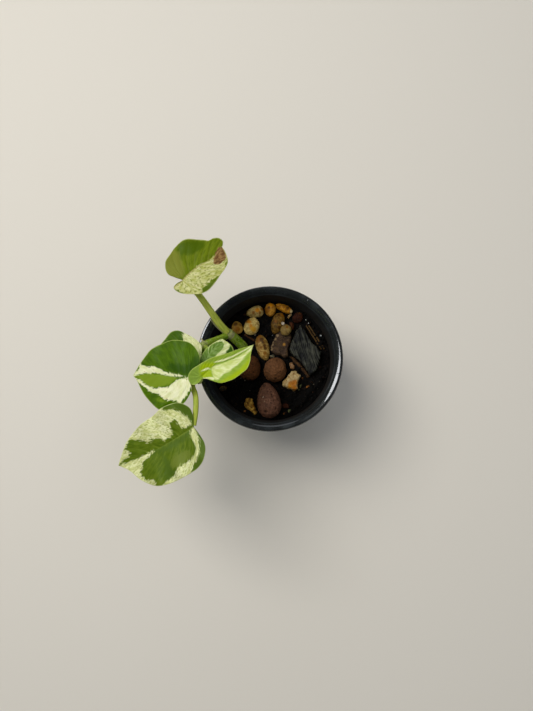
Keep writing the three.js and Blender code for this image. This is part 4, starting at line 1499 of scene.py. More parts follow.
@dataclass
class Litter:
    """Two straws and a twig that lie on the mix."""

    arch: float = 0.3
    sides: int = 12
    ring_gap: float = 0.4
    straw: StalkFinish = StalkFinish(
        "dry_straw", "#4e3a1c", "#26180a", "#7d6636", 0.35, roughness=0.7, sheen=0.0
    )
    twig: StalkFinish = StalkFinish(
        "brown_twig", "#40260f", "#241306", "#5d3d20", 0.3, roughness=0.8, sheen=0.0
    )

    def build(self) -> None:
        """Lay the straws and the twig where their solids are."""
        self.lay("straw_inner", (23, 22.4, 1.2), (32.7, 7, 0.8), 0.5, self.straw, "straw", 0.55)
        self.lay("straw_outer", (24.7, 22.6, 0.8), (34.6, 7.4, 0.6), 0.5, self.straw, "straw", 0.55)
        self.lay("twig", (-17, 17, 0.4), (-10.4, 12.8, 0.3), 0.7, self.twig, "bark", 1.0)

    def lay(
        self, node: str, start: Place, end: Place, radius: float, finish: StalkFinish, slot: str,
        flatten: float,
    ) -> None:
        """Lay one rod.

        Args:
            node: The CAD node that it replaces.
            start: Its first end's plan place and its lift over the mix.
            end: The same for its other end.
            radius: Its radius in mm.
            finish: Its finish.
            slot: The record's material slot.
            flatten: How flat its section is, from 0 to 1.
        """
        ends = np.array([on_mix(*start), on_mix(*end)])
        route = (ends[0], ends.mean(axis=0) + (0, 0, self.arch), ends[1])
        rod = Stalk(route, (radius,) * 3, self.sides, self.ring_gap, flatten)
        piece = rod.build(f"{node}_dressed", finish)
        displace(piece, 1.2, 0.3)
        show(piece, slot, node)


# The leaves


class Tone(Enum):
    """What a patch of a leaf's skin is, from the lowest layer of paint to the topmost. On the broad and the
    small leaf a deep patch is painted shade, and on the young leaf it is a painted sheen.
    """

    DEEP = "deep"
    LIGHT = "light"
    CREAM = "cream"
    ISLAND = "island"
    LINE = "line"
    BROWN = "brown"


@dataclass(frozen=True)
class LeafFinish:
    """A pothos leaf's waxy skin: its greens, and the cream where the tissue has no green in it."""

    name: str
    green: str
    green_shade: str
    deep: str
    light: str
    cream: str
    cream_shade: str
    speck: str = "#8fa24c"
    speck_share: float = 0.2
    speck_size: float = 0.9
    speck_length: float = 3.0
    ragged: float = 3.5
    flecks: float = 3.5
    blur: float = 0.2
    dot: str = "#8a7636"
    dots: float = 0.2
    brown: str = "#624426"
    brown_pale: str = "#917548"
    rib: str = "#a9bf6a"
    rib_share: float = 0.4
    vein_share: float = 0.3
    margin: str = "#b6c46a"
    under: str = "#a3b57c"
    roughness: float = 0.5
    under_roughness: float = 0.65

    def make(self) -> Material:
        """Make the material: patches with edges that run ragged along the veins, veins, and a soft gloss.

        Returns:
            The material.
        """
        paint = Paint(
            self.name, IOR=1.43, Specular_IOR_Level=0.08, Subsurface_Weight=0.06, Subsurface_Scale=MM,
            Subsurface_Radius=(0.7, 1.1, 0.35),
        )
        names = ["vein_gap", "rib_gap", "edge_gap", "underside", *(tone.value for tone in Tone)]
        read = {name: paint.node("Attribute", attribute_name=name)["Fac"] for name in names}
        vein_place = paint.node("Attribute", attribute_name="vein_place")["Vector"]
        # Patterns run along the veins: how many to a mm across the veins and along them, and their detail
        patterns = {
            "wander": (0.34, 0.15, 2.0),
            "teeth": (1.1, 0.36, 3.0),
            "marble": (0.75, 0.2, 5.0),
            "specks": (1 / self.speck_size, 1 / (self.speck_size * self.speck_length), 4.0),
        }
        fields = {}
        for name, (across, along, detail) in patterns.items():
            stretched = paint.node("Mapping", {"Vector": vein_place, "Scale": (across, along, 1.0)})["Vector"]
            inputs = {"Vector": stretched, "Scale": 1.0, "Detail": detail, "Roughness": 0.6}
            fields[name] = paint.node("TexNoise", inputs)["Fac"]
        # Leaf cells are about 0.05 mm; the skin's tooth is drawn at 0.45 mm so that it shows
        cells = paint.node("TexNoise", {"Vector": paint.place, "Scale": per_mm(0.45), "Detail": 3.0})["Fac"]
        base = paint.coat(self.green, self.green_shade, fields["marble"], 0.42, 0.6)
        base = paint.coat(base, self.rib, read["vein_gap"], 0.55, 0.1, self.vein_share)
        base = paint.coat(base, self.deep, cells, 0.5, 0.75, 0.3)
        pale = paint.coat(self.cream, self.cream_shade, fields["wander"], 0.4, 0.62)
        pale = paint.coat(pale, self.speck, fields["specks"], 0.52, 0.6, self.speck_share)
        spots = paint.node("TexVoronoi", {"Vector": paint.place, "Scale": per_mm(1.3)})
        chance = paint.node("SeparateColor", {"Color": spots["Color"]})["Red"]
        spot = paint.node("Math", {0: spots["Distance"], 1: -1.0, 2: chance}, operation="MULTIPLY_ADD")[0]
        more = 0.25 * self.dots
        pale = paint.coat(pale, self.dot, spot, 0.75 - more, 0.85 - more, 0.8)
        dead = paint.coat(self.brown, self.brown_pale, fields["specks"], 0.46, 0.58)
        # Both noises lie round 0.5, so this moves an edge as often outwards as inwards
        shift = -(self.ragged + self.flecks) / 2
        edge = shift
        for field, share in (("wander", self.ragged), ("teeth", self.flecks)):
            edge = paint.node("Math", {0: fields[field], 1: share, 2: edge}, operation="MULTIPLY_ADD")[0]
        # Each layer's paint, the blur of its edge in mm, and how much of the ragged edge it takes
        layers = {
            # The deep layer also lays the painted shade and painted sheen patches.
            Tone.DEEP: (self.deep, 1.2, 1.0),
            Tone.LIGHT: (self.light, 1.0, 1.0),
            Tone.CREAM: (pale, self.blur, 1.0),
            Tone.ISLAND: (base, 0.2, 0.45),
            Tone.LINE: (self.cream, 0.25, 0.15),
            Tone.BROWN: (dead, 0.3, 0.6),
        }
        colour = base
        for tone, (layer, blur, share) in layers.items():
            reach = paint.node("Math", {0: edge, 1: share, 2: read[tone.value]}, operation="MULTIPLY_ADD")[0]
            colour = paint.coat(colour, layer, reach, -blur, blur)
        colour = paint.coat(colour, self.rib, read["rib_gap"], 0.6, 0.2, self.rib_share)
        colour = paint.coat(colour, self.margin, read["edge_gap"], 0.55, 0.15, 0.6)
        colour = paint.coat(colour, self.under, read["underside"], most=0.45)
        gloss = paint.node(
            "MapRange", {"Value": read["underside"], "To Min": self.roughness, "To Max": self.under_roughness}
        )
        return paint.finish(colour, cells, 0.2, 0.06, Roughness=gloss["Result"])


@dataclass(frozen=True)
class Bearing:
    """How a blade lies: its rise, sag, fold, cup and wave, its midrib's two bends, and its tilt."""

    rise: float
    sag: float
    fold: float
    cup: float
    wave: float
    bow: float = 0.0
    sway: float = 0.0
    tilt: float = 0.0


@dataclass(frozen=True)
class Side:
    """One side of a leaf: the point where its lobe ends, and its edge from the notch to the tip."""

    lobe: int
    points: tuple[Pair, ...]


@dataclass
class Leaf:
    """One leaf and its petiole. In its plan u runs from the petiole to the tip, and v to the left of it."""

    node: str
    base: Place
    heading: float
    length: float
    bearing: Bearing
    left: Side
    right: Side
    petiole: tuple[Place, ...]
    petiole_radii: tuple[float, ...]
    stalk_skin: StalkFinish
    skin: LeafFinish
    patches: dict[Tone, tuple[tuple[Pair, ...], ...]]
    veins: int = 9
    rows: int = 96
    columns: int = 40
    thickness: float = 0.5
    edge_thickness: float = 0.22
    edge_width: float = 0.8
    groove_depth: float = 0.34
    groove_width: float = 0.6
    ridge_width: float = 0.9
    unevenness: float = 0.22
    crease: float = 2.0
    steepest: float = 1.9
    vein_bend: float = 0.1
    quilt: float = 0.24
    sweep: float = 1.7
    merge_gap: float = 0.004
    outside: float = -50.0

    def build(self) -> None:
        """Build the blade and its petiole as one piece, and dress both."""
        name = "_".join(reversed(self.node.split("_")))
        blade = self.blade(name)
        stalk = Stalk(self.petiole, self.petiole_radii, groove=0.08).build("petiole", self.stalk_skin)
        show(joined(name, blade, stalk), "leaf_variegated", self.node)

    def rib_offset(self, u: np.ndarray) -> np.ndarray:
        """Give the midrib's sideways bend at places along the leaf."""
        along = np.clip(u / self.length, 0, 1)
        return self.bearing.bow * np.sin(np.pi * along) + self.bearing.sway * np.sin(2 * np.pi * along)

    def height(self, u: np.ndarray, v: np.ndarray) -> np.ndarray:
        """Give the blade's height over its base, by the same rule as the solid.

        Args:
            u: The places' distance along the leaf, in mm.
            v: Their distance to the left.

        Returns:
            The heights in mm.
        """
        lie = self.bearing
        across = v - self.rib_offset(u)
        creased = np.hypot(across, self.crease) - self.crease
        reach = np.minimum(np.abs(across) / 12, 1.5)
        ripple = lie.wave * reach ** 2 * np.sin(0.42 * u + np.where(across > 0, 0.6, 2.4))
        bent = lie.rise * u - lie.sag * u * u + lie.fold * creased - lie.cup * across ** 2
        return bent + lie.tilt * across + ripple

    def side_grid(self, side: Side, sign: int) -> dict[str, np.ndarray]:
        """Lay out one side of the blade in rows that run as its veins do.

        Args:
            side: The side's outline.
            sign: 1 for the left, -1 for the right.

        Returns:
            Arrays of rows and columns: the plan place u and v, the share s across, the place along, the
            width of the row, the vein phase and the side's sign.
        """
        steps = 40
        edge = smooth_line((*side.points, (self.length, 0)), steps)
        fan = np.linspace(0, side.lobe, side.lobe * 7, endpoint=False)
        share = np.linspace(0, 1, self.rows)
        counts = np.concatenate([fan, side.lobe + (len(side.points) - side.lobe) * share])
        ends = np.stack([np.interp(counts * steps, np.arange(len(edge)), edge[:, k]) for k in (0, 1)], axis=1)
        along = np.concatenate([np.zeros(len(fan)), self.length * share ** self.sweep])
        starts = np.stack([along, self.rib_offset(along)], axis=1)
        even = np.linspace(0, 1, self.columns)
        s = 0.45 * even + 0.55 * (0.5 - 0.5 * np.cos(np.pi * even))
        span = ends - starts
        width = np.linalg.norm(span, axis=1)
        main = np.concatenate([np.zeros(len(fan)), share])
        fade = np.clip(main / 0.15, 0, 1) * np.clip((1 - main) / 0.1, 0, 1)
        plan = starts[:, None, :] + span[:, None, :] * s[None, :, None]
        plan[:, :, 0] -= (self.vein_bend * width * fade)[:, None] * 4 * s * (1 - s)
        behind = np.concatenate([fan - side.lobe, np.zeros(len(share))])
        place = self.length * main + behind * 2.4
        phase = np.concatenate([behind[:len(fan)] * 0.9, share * self.veins])
        grid = np.ones_like(plan[:, :, 0])
        return {
            "u": plan[:, :, 0],
            "v": plan[:, :, 1],
            "s": grid * s,
            "place": grid * place[:, None],
            "width": grid * width[:, None],
            "phase": grid * phase[:, None],
            "sign": grid * sign,
        }

    def blade(self, name: str) -> Object:
        """Make the blade: a skin above and a skin below, joined round the edge, with its veins worked in.

        Args:
            name: The blade's name.

        Returns:
            The dressed blade, with what its material reads kept in attributes.
        """
        grids = [self.side_grid(self.left, 1), self.side_grid(self.right, -1)]
        flat = {key: np.concatenate([grid[key].ravel() for grid in grids]) for key in grids[0]}
        half = len(flat["u"])
        faces = []
        start = 0
        for grid, step in zip(grids, (1, -1)):
            rows, columns = grid["u"].shape
            for i in range(rows - 1):
                for j in range(columns - 1):
                    a = start + i * columns + j
                    quad = (a, a + columns, a + columns + 1, a + 1)[::step]
                    faces.append(quad)
                    faces.append(tuple(index + half for index in reversed(quad)))
            rim = [start + j for j in range(columns)]
            rim += [start + i * columns + columns - 1 for i in range(1, rows)]
            faces += [(a, b, b + half, a + half)[::step] for a, b in zip(rim, rim[1:])]
            start += rows * columns
        blade = mesh_object(name, self.raise_skins(flat), faces)
        self.write_places(blade.data, flat)
        with editing(blade):
            bpy.ops.mesh.remove_doubles(threshold=self.merge_gap * MM)
            bpy.ops.mesh.normals_make_consistent(inside=False)
        dress(blade, self.skin.make())
        return blade

    def raise_skins(self, flat: dict[str, np.ndarray]) -> np.ndarray:
        """Give the upper and lower skins their heights, with groove, ridge, quilting and a thin edge.

        Args:
            flat: The laid out places of one skin.

        Returns:
            The places of both skins, the upper first.
        """
        u, v, s = flat["u"], flat["v"], flat["s"]
        gap = np.abs(v - self.rib_offset(u))
        fade = np.clip(1 - u / self.length, 0, 1) ** 0.6
        groove = self.groove_depth * np.exp(-((gap / self.groove_width) ** 2)) * fade
        ridge = self.petiole_radii[-1] * np.exp(-((gap / self.ridge_width) ** 2)) * fade ** 2
        bulge = np.abs(np.sin(np.pi * flat["phase"])) ** 0.8
        envelope = np.clip(s * 5, 0, 1) * np.clip((1 - s) * 4, 0, 1)
        quilting = self.quilt * (bulge - 0.6) * envelope
        sway = self.unevenness * np.sin(0.37 * u + 0.9) * np.cos(0.29 * v - 0.6) * envelope
        grown = np.clip((1 - s) * flat["width"] / self.edge_width, 0, 1)
        thick = self.edge_thickness + (self.thickness - self.edge_thickness) * np.sqrt(1 - (1 - grown) ** 2)
        step = 0.1
        slope_u = (self.height(u + step, v) - self.height(u - step, v)) / (2 * step)
        slope_v = (self.height(u, v + step) - self.height(u, v - step)) / (2 * step)
        half = thick * np.minimum(np.sqrt(1 + slope_u ** 2 + slope_v ** 2), self.steepest) / 2
        middle = self.height(u, v) + quilting + sway
        turn = math.radians(self.heading)
        x = self.base[0] + u * math.cos(turn) - v * math.sin(turn)
        y = self.base[1] + u * math.sin(turn) + v * math.cos(turn)
        skins = (middle + half - groove, middle - half - ridge)
        return np.concatenate([np.stack([x, y, self.base[2] + skin], axis=1) for skin in skins])

    def write_places(self, mesh: Mesh, flat: dict[str, np.ndarray]) -> None:
        """Store, for the material, each vertex's place among veins and patches.

        Args:
            mesh: The blade's mesh, both skins.
            flat: The laid out places of one skin.
        """
        u, v, s, phase, width = (flat[key] for key in ("u", "v", "s", "phase", "width"))
        values = {
            "vein_place": np.stack([flat["place"], s * width, flat["sign"] * 30], axis=1),
            "vein_gap": np.abs(phase - np.round(phase)) * self.length / self.veins + 0.3 * s,
            "rib_gap": np.abs(v - self.rib_offset(u)) + 0.012 * np.clip(u, 0, None),
            "edge_gap": (1 - s) * width,
        }
        for tone in Tone:
            reaches = [inside_reach(outline, u, v) for outline in self.patches.get(tone, ())]
            values[tone.value] = np.max([np.full(len(u), self.outside), *reaches], axis=0)
        for name, one_skin in values.items():
            write_attribute(mesh, name, np.concatenate([one_skin, one_skin]))
        write_attribute(mesh, "underside", np.repeat([0.0, 1.0], len(u)))


def inside_reach(outline: tuple[Pair, ...], u: np.ndarray, v: np.ndarray) -> np.ndarray:
    """Measure how far places lie inside an outline.

    Args:
        outline: The outline's corners, which are joined by a smooth closed line.
        u: The places' first coordinate in mm.
        v: Their second.

    Returns:
        The distance to the line in mm, below zero outside it.
    """
    line = smooth_line(outline, 4, closed=True)
    tiny = 1e-9
    nearest = np.full(len(u), np.inf)
    inside = np.zeros(len(u), bool)
    for (ax, ay), (bx, by) in zip(line, np.roll(line, -1, axis=0)):
        span = max((bx - ax) ** 2 + (by - ay) ** 2, tiny)
        t = np.clip(((u - ax) * (bx - ax) + (v - ay) * (by - ay)) / span, 0, 1)
        nearest = np.minimum(nearest, np.hypot(u - ax - t * (bx - ax), v - ay - t * (by - ay)))
        crosses = (ay > v) != (by > v)
        inside ^= crosses & (u < ax + (v - ay) / (by - ay or tiny) * (bx - ax))
    return np.where(inside, nearest, -nearest)


PALE_STALK = StalkFinish("pale_yellow_green_petiole", "#ced65e", "#a6b83e", "#dce094", 0.3, sheen=0.06)
YELLOW_STALK = StalkFinish("yellow_green_petiole", "#a9b548", "#8a9c38", "#c2ca72", 0.25, sheen=0.06)
GREEN_STALK = StalkFinish("green_petiole", "#8ea03c", "#66801f", "#c4cf86", 0.35, sheen=0.06)

LEAVES = (
    # The old leaf on the long petiole, half green and half speckled cream, with a dead patch
    Leaf(
        "leaf_upper", base=(-49, 41.1, 120), heading=43.3, length=30.3, veins=8,
        bearing=Bearing(rise=-0.1, sag=0.003, fold=0.18, cup=0.003, wave=0.5, bow=-0.4, sway=0.9),
        left=Side(4, (
            (-1.2, 2), (-2.5, 4.5), (-4, 8), (-3, 11.5), (0, 14.5), (4.5, 15.8), (9.5, 17.5), (14.5, 17.5),
            (18.5, 16), (22, 13), (25, 10.2), (27, 8), (30, 7.3), (32.5, 5.5), (33, 2.5),
        )),
        right=Side(6, (
            (-2, 0.5), (-5, 1), (-7.2, 0), (-7, -3), (-5.5, -6), (-2.5, -9.5), (1.5, -13), (6.5, -14.5),
            (12.5, -14), (18.5, -12.2), (23, -11), (26.5, -9.2), (28.5, -6), (29.8, -2.5),
        )),
        petiole=(
            (-27.4, 16.8, 79.2), (-31.3, 20.9, 87), (-35.8, 27.2, 97), (-39.4, 32.2, 106),
            (-42.6, 36, 112.6), (-46, 39.2, 116.6), (-48.6, 41, 118.6),
        ),
        petiole_radii=(2.5, 2.3, 2.1, 2, 1.9, 1.7, 1.3),
        stalk_skin=PALE_STALK,
        skin=LeafFinish(
            "yellowing_pothos_leaf", "#6b7c14", "#5a6c0e", "#4a6006", "#787f2e", "#c6c690", "#a3a75a",
            speck="#75802a", speck_share=0.8, speck_size=1.5, speck_length=1.2, dots=0.7, dot="#6f6a22",
            rib="#a59a5e", rib_share=0.6, vein_share=0.12, margin="#bfc47c",
        ),
        patches={
            Tone.DEEP: (
                ((8, 15.5), (12.5, 17), (18, 15), (24, 9.5), (22.5, 6.5), (16, 7), (9, 11.5)),
                ((2, -12), (5, -11.2), (9, -12), (15, -12), (17.5, -11.5), (16, -15), (4, -16)),
                ((-8, 2), (-6, -2), (-4.8, -6), (-6.5, -8), (-10, -2)),
            ),
            Tone.LIGHT: (((-1, 14), (5, 17), (9, 16.5), (8, 12), (5.5, 6), (2.5, 2), (-3, 3), (-5, 9)),),
            Tone.CREAM: ((
                (-3, 0.2), (4, 0.5), (13.5, 0.5), (19, -1.5), (26, -0.5), (31, 0.5), (31, -5), (27, -8),
                (24.5, -9), (22, -12), (19, -13), (16, -12), (9, -12), (5, -11.2), (2, -13.5), (-3, -11),
                (-5, -6), (-6, -2), (-7, 1.5),
            ),),
            Tone.BROWN: ((
                (26, 0.5), (29, 1), (31.5, -1.5), (29.5, -5), (26.5, -7), (21.5, -7), (19.8, -5),
                (20.5, -3), (23.5, -1.2),
            ),),
        },
    ),
    # The leaf that is nearly hidden by the broad one
    Leaf(
        "leaf_under", base=(-40.4, -0.5, 100), heading=-171.6, length=34.3,
        bearing=Bearing(rise=-0.15, sag=0.004, fold=0.12, cup=0.004, wave=0.6, bow=-2.4),
        left=Side(1, ((0.3, 2), (3.5, 4.8), (10, 6.2), (17.5, 6), (25, 4.4), (30.5, 2))),
        right=Side(3, (
            (-0.5, -2.5), (-1, -5), (0, -7.5), (3, -11), (7.5, -14.5), (12, -17.2), (17, -17),
            (21.5, -13.4), (26.5, -9), (31, -4.5),
        )),
        petiole=((-39.4, 5.8, 91.4), (-37.6, 4, 95), (-38, 1, 98.2), (-39.8, -0.2, 99)),
        petiole_radii=(1.5, 1.4, 1.3, 1),
        stalk_skin=GREEN_STALK,
        skin=LeafFinish(
            "shaded_pothos_leaf", "#45650c", "#385608", "#2c4a04", "#5c7a20", "#dde0b4", "#ccd29a",
            speck="#8f9440", speck_share=0.5, dots=0.8, dot="#7f6a24",
        ),
        patches={
            Tone.CREAM: ((
                (9, -18), (9.5, -12), (11, -8), (9, -3.5), (5, 0), (0.5, 4), (-3, 2), (-3, -6), (0, -11),
                (5, -16),
            ),),
        },
    ),
    # The steep leaf, deep green on top and white below
    Leaf(
        "leaf_broad", base=(-45.6, -16.2, 113), heading=173, length=38.5,
        bearing=Bearing(rise=-0.45, sag=0.005, fold=0.1, cup=0.008, wave=0.6, bow=-1.6, tilt=-0.08),
        left=Side(4, (
            (-1, 2.5), (-2, 5), (-1, 9), (1.5, 13.5), (6.5, 17), (12, 19.3), (17.5, 18.8), (23.2, 15.7),
            (28.5, 11.2), (32, 7), (35.5, 2.5),
        )),
        right=Side(4, (
            (-1.2, -2.5), (-3, -6.5), (-5, -12), (-3.2, -16.5), (0.5, -20.3), (5, -22.5), (11, -22.8),
            (17, -22), (22.7, -19.6), (28, -16), (31.5, -11.7), (34.7, -7), (37, -2.5),
        )),
        petiole=((-46.6, -11, 97.4), (-49.6, -12.8, 101), (-49.2, -15.4, 107.5), (-46.4, -16.2, 111.7)),
        petiole_radii=(1.6, 1.5, 1.4, 1.2),
        stalk_skin=GREEN_STALK,
        skin=LeafFinish(
            # The deep green also paints the shadow that the young leaf casts.
            "deep_green_pothos_leaf", "#4b6c03", "#3d5c02", "#2f4f01", "#738c1e", "#e8eac8", "#d6dba8",
            speck="#c2c98a", speck_share=0.3, dots=0.35, dot="#b48d4c", rib="#6c8a1c", rib_share=0.12,
        ),
        patches={
            # This deep patch near the base is painted shadow, cast by the young leaf above.
            Tone.DEEP: (((-6, -12), (-2, -4), (6, -3), (14, -5.5), (14, -9.5), (4, -8.5), (-2, -13)),),
            Tone.LIGHT: (
                (
                    (9, -1), (19, -2), (28.5, -2.5), (34, -1), (38, 0.5), (33, 2.5), (30, 4), (25.5, 6.2),
                    (20, 6.2), (14, 4.5), (10, 1.5),
                ),
                ((17.5, 12.4), (13.5, 13.8), (15.5, 15), (19, 13.6)),
            ),
            Tone.CREAM: (
                (
                    (39, 0.8), (36, -2.5), (34.5, -5), (34.5, -8), (32, -6.4), (25, -6.2), (21, -5.2),
                    (16.5, -3.8), (12, -2.8), (7.5, -2.6), (2, -2), (6.5, -1.4), (12, -1.4), (15, -1.4),
                    (19.5, -2.4), (23.5, -2.4), (29, -1.8), (33.5, -1),
                ),
                (
                    (39, 1), (33.5, 2), (30, 4), (26.5, 5.5), (22.5, 6.5), (18.5, 5.5), (13, 5), (9.5, 2),
                    (7, 0.5), (1, -1.5), (-2.5, 0), (-2, 3.5), (-0.5, 6.5), (1.5, 10), (4, 14), (7, 12.5),
                    (9.5, 12.5), (13, 13), (15, 12), (19, 10), (23.5, 9), (27, 7.5), (31, 5.5), (35, 3),
                ),
            ),
        },
    ),
    # The newest leaf, narrow, lime and cream, that reaches over the rim
    Leaf(
        "leaf_young", base=(-37.4, -15.1, 121), heading=31.6, length=34.5, sweep=2.6,
        bearing=Bearing(rise=0.25, sag=0.006, fold=0.3, cup=0.0, wave=0.4, bow=-0.2, sway=1.3),
        left=Side(6, (
            (-1.5, -1.5), (-5, -1.7), (-7.5, 0), (-7.5, 3), (-5.5, 5.5), (-2.5, 6.6), (1.5, 6.6),
            (6.5, 6.5), (11, 6), (16, 4.5), (21, 3.2), (26, 2.2), (30.5, 1.1),
        )),
        right=Side(0, (
            (0, -1.2), (2.5, -2.8), (4.5, -3.8), (5.7, -6.5), (7.5, -9), (11, -10.2), (15, -11),
            (20, -10.6), (24.5, -9.8), (28, -7), (30.2, -4), (32.5, -1.6),
        )),
        petiole=((-44, -13.6, 99.4), (-41.1, -16.4, 105.5), (-39.6, -17, 113), (-37.2, -15, 120.3)),
        petiole_radii=(1.7, 1.5, 1.3, 1),
        stalk_skin=YELLOW_STALK,
        skin=LeafFinish(
            # The deep colour is the grey-green of the painted sheen.
            "young_pothos_leaf", "#7f9a2c", "#8aa53a", "#7c983a", "#93ab08", "#d4dba4", "#b6c46e",
            speck="#b4c46a", speck_share=0.4, speck_length=5.0, ragged=1.2, flecks=1.6, blur=0.45, dots=0.0,
            rib="#a5b95a", rib_share=0.1,
        ),
        patches={
            # This deep patch on the left lobe is a painted sheen.
            Tone.DEEP: (((-9, 0), (-8.5, 4), (-3.5, 8), (1, 7.5), (2.5, 4.5), (-0.5, 2.5), (-5, -2.5)),),
            Tone.LIGHT: (
                ((2.5, 5.5), (6, 5.5), (10, 2.8), (8, 1.5), (3.5, 2.5), (0.5, 3)),
                (
                    (32, -3), (28, -5.6), (24, -6.8), (18, -8), (13, -8.2), (9, -8), (6, -10), (14, -13),
                    (24, -12), (31, -7),
                ),
                ((0, 0), (0.5, 2), (2.5, 2.5), (5, 1.5), (6.5, 0), (6, -1.5), (4.5, -3), (1.5, -2)),
            ),
            Tone.CREAM: ((
                (8.5, 1.5), (11, 1), (13.5, 0.2), (17.5, -0.5), (21.5, -1), (24.5, -1.3), (29, -1),
                (32.5, -0.3), (36, 0), (32.5, -1.9), (29, -2.6), (25.5, -4), (21.5, -5), (17.5, -5.6),
                (15, -6), (12, -5.6), (9, -6.2), (7, -6.4), (5.5, -5), (6, -2.5), (7, 0.5),
            ),),
            Tone.LINE: (
                (
                    (10, 3.4), (13.5, 2.6), (16.5, 1.7), (19.5, 1.1), (22.5, 0.7), (25.5, 0.5), (29.5, 0.4),
                    (36, 0), (29, -0.3), (25, -0.2), (22, 0), (19, 0.3), (16, 0.8), (13, 1.8),
                ),
                ((1.2, 3), (3.5, 3.1), (5.8, 2.5), (6.6, 1), (5.2, 1.7), (2.5, 2.4)),
                ((0, -0.7), (1, -2.1), (3, -3.2), (4.7, -5.2), (5.6, -4), (3.5, -2.4), (1.5, -1.4)),
            ),
        },
    ),
    # The small marbled leaf in the shade of the youngest
    Leaf(
        "leaf_small", base=(-40, -10.4, 107), heading=57.9, length=23.1, veins=7,
        bearing=Bearing(rise=-0.1, sag=0.004, fold=0.12, cup=0.004, wave=0.3, bow=1.0),
        left=Side(0, ((-1.5, 1.5), (1.5, 3.5), (5.5, 4.2), (9, 4.6), (13, 4.4), (16.8, 3.4), (20.5, 1.8))),
        right=Side(0, (
            (-1, -2), (3.5, -5.5), (9.5, -8.5), (15.5, -10.3), (20, -10), (22.4, -7.4), (23, -3.8),
        )),
        petiole=((-43.4, -8, 95.4), (-39.6, -10.2, 97.6), (-37.6, -11.6, 102), (-39.2, -10.9, 105.8)),
        petiole_radii=(1.4, 1.3, 1.2, 0.9),
        stalk_skin=GREEN_STALK,
        skin=LeafFinish(
            # The deep green also paints the shade that the young leaf casts.
            "marbled_pothos_leaf", "#5a7a26", "#7c9850", "#2c4c06", "#5a7c40", "#d0d6a6", "#aebb76",
            speck="#8ba25c", speck_share=0.3, ragged=1.6, flecks=2.2, rib="#86a060",
        ),
        patches={
            # This deep patch on the right margin is painted shade, cast by the young leaf above.
            Tone.DEEP: ((
                (24, -3.5), (24, -12), (18.5, -11), (14.5, -6), (15.5, -4.5), (18, -6), (21.5, -6),
            ),),
            Tone.CREAM: ((
                (24, 0), (23.5, -2), (23, -5.5), (20.5, -6.6), (17.5, -6.6), (14.5, -5.7), (11.8, -3.2),
                (9.6, -0.5), (11.6, 2.2), (14.3, 3.9), (17, 3.4), (20, 1.8), (22.5, 1),
            ),),
            Tone.ISLAND: ((
                (21.4, -0.5), (21.2, -2.2), (19.8, -3.3), (17.8, -3.5), (15, -3.2), (12.4, -2.6),
                (9.2, -2.6), (8, -0.2), (10.8, 1.5), (13.4, 3), (15.3, 3.5), (17.4, 2.8), (19.6, 1.4),
            ),),
        },
    ),
    # The largest leaf, marbled grey green with broad cream fields
    Leaf(
        "leaf_lower", base=(-43.1, -43.2, 111.5), heading=-154.4, length=53.2, veins=12, rows=120,
        columns=44, sweep=1.9,
        bearing=Bearing(rise=-0.28, sag=0.002, fold=0.22, cup=0.004, wave=0.8, bow=1.8),
        left=Side(4, (
            (-0.7, 2), (-1.7, 7), (-2, 11.5), (-0.5, 15.7), (3, 20), (8, 22.3), (14, 23.2), (21, 23.5),
            (28.5, 23), (35, 21.2), (39.5, 18), (43.5, 13), (47, 6.5), (50.5, 2.5),
        )),
        right=Side(4, (
            (-0.9, -2.2), (-2.5, -6), (-3, -10.5), (-0.5, -14.5), (3, -17), (7, -18), (12, -18),
            (18, -16.8), (25.5, -15.6), (33.5, -13.8), (40.5, -10.5), (46, -6.5), (50.5, -2.6),
        )),
        petiole=(
            (-45.4, -16.4, 101.6), (-45.1, -19.2, 104.2), (-42.9, -24.5, 107), (-42.2, -30.4, 109),
            (-42.4, -36.2, 110.1), (-43, -42.4, 110.3),
        ),
        petiole_radii=(1.9, 1.7, 1.6, 1.6, 1.6, 1.3),
        stalk_skin=YELLOW_STALK,
        skin=LeafFinish(
            "grey_green_pothos_leaf", "#5e7216", "#4a620a", "#4e661c", "#69792a", "#e0e3b4", "#c2c786",
            speck="#939f48", speck_share=0.85, speck_size=0.8, speck_length=1.6, flecks=6.0, dots=0.5,
            dot="#8a8a44", rib="#8a9a3c", rib_share=0.3, margin="#cfd694",
        ),
        patches={
            Tone.DEEP: (
                (
                    (12, -17), (7, -15), (4.5, -12.5), (2.5, -9.5), (0.8, -6), (0.3, -3), (-4, -4),
                    (-5, -10), (-3, -15), (3, -19.5), (12, -20),
                ),
                (
                    (0, 1.5), (0, 8), (1.5, 13), (5, 17), (9.5, 20), (13, 22.5), (10, 26), (2, 23),
                    (-3, 17), (-5, 10), (-3, 3),
                ),
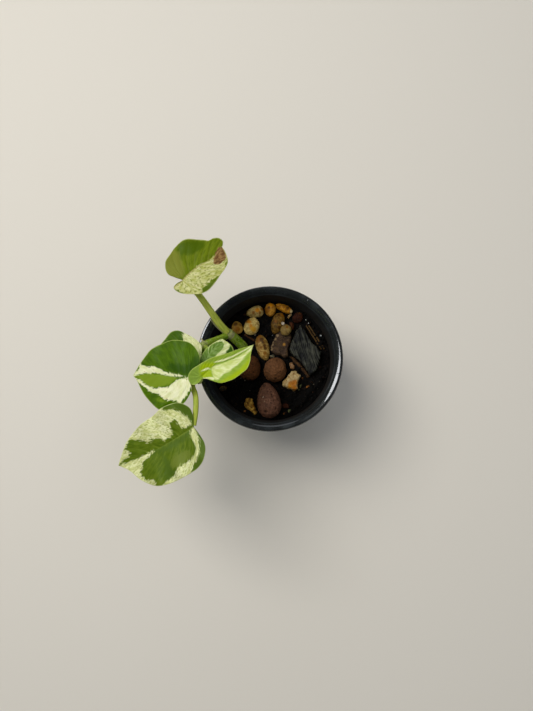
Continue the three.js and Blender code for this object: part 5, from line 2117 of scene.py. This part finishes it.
                ((2, 0.6), (9, 2), (19, 2.6), (30, 2.4), (24, 5.5), (12, 5), (4, 3.5)),
                ((28, 21), (24.5, 21), (21.5, 17.5), (22, 10), (24.5, 7), (25.5, 12), (28, 17)),
            ),
            Tone.LIGHT: (((22, 15.5), (18, 17), (12.5, 16), (8, 15.5), (9, 10.5), (15.5, 9.5), (20, 11)),),
            Tone.CREAM: (
                (
                    (12, -16.2), (7, -14.8), (4.5, -12.5), (2.3, -9.3), (0.6, -6), (0.2, -2.5), (3, -1.6),
                    (5.7, -2), (6.8, -4.5), (8, -7.5), (9.5, -8.5), (11.5, -7.8), (12.6, -5.5), (13, -2.5),
                    (16, -1), (19, -1), (22.5, -3.5), (26, -4.5), (29.5, -4), (31, -6.6), (34, -7.5),
                    (38, -11), (41.5, -8.5), (44, -6.5), (47, -7.5), (44, -10), (38, -14), (30, -17),
                    (20, -19), (13, -18.5),
                ),
                ((45.5, -7), (43.5, -5.5), (42.2, -3), (45.5, -2.2), (49, -1.6), (54, -1), (50, -5)),
                (
                    (55, 0.2), (48.5, 0.6), (40, 1.6), (33, 1.6), (28.5, 1.5), (32.5, 3.6), (36, 5),
                    (39, 7.5), (41.2, 10), (40.5, 13.5), (38.5, 16), (35, 17.6), (36, 21.5), (40, 21),
                    (46, 14), (50, 7), (53, 3),
                ),
                (
                    (30, 21.8), (26, 20.8), (22, 19.8), (18.5, 17.2), (13, 16.4), (8, 15.6), (5, 13.5),
                    (3.6, 10), (3.6, 5), (2.5, 1), (0, 0.6), (0, 7), (1.2, 11.5), (4.5, 16.5), (9.5, 20),
                    (12.5, 22.5), (16, 26), (30, 26), (33, 23.5),
                ),
            ),
        },
    ),
)


def main() -> None:
    """Build the studio and every sub-assembly of the potted plant, in order."""
    logging.basicConfig(level=logging.INFO, format="%(name)s: %(message)s")
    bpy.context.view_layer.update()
    Studio().build()
    pot = NurseryPot()
    pot.build()
    PottingMix().build(pot)
    for part in (*DRESSING, Charcoal(), Litter(), Vine(), *LEAVES):
        part.build()
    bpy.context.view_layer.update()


if __name__ == "__main__":
    main()
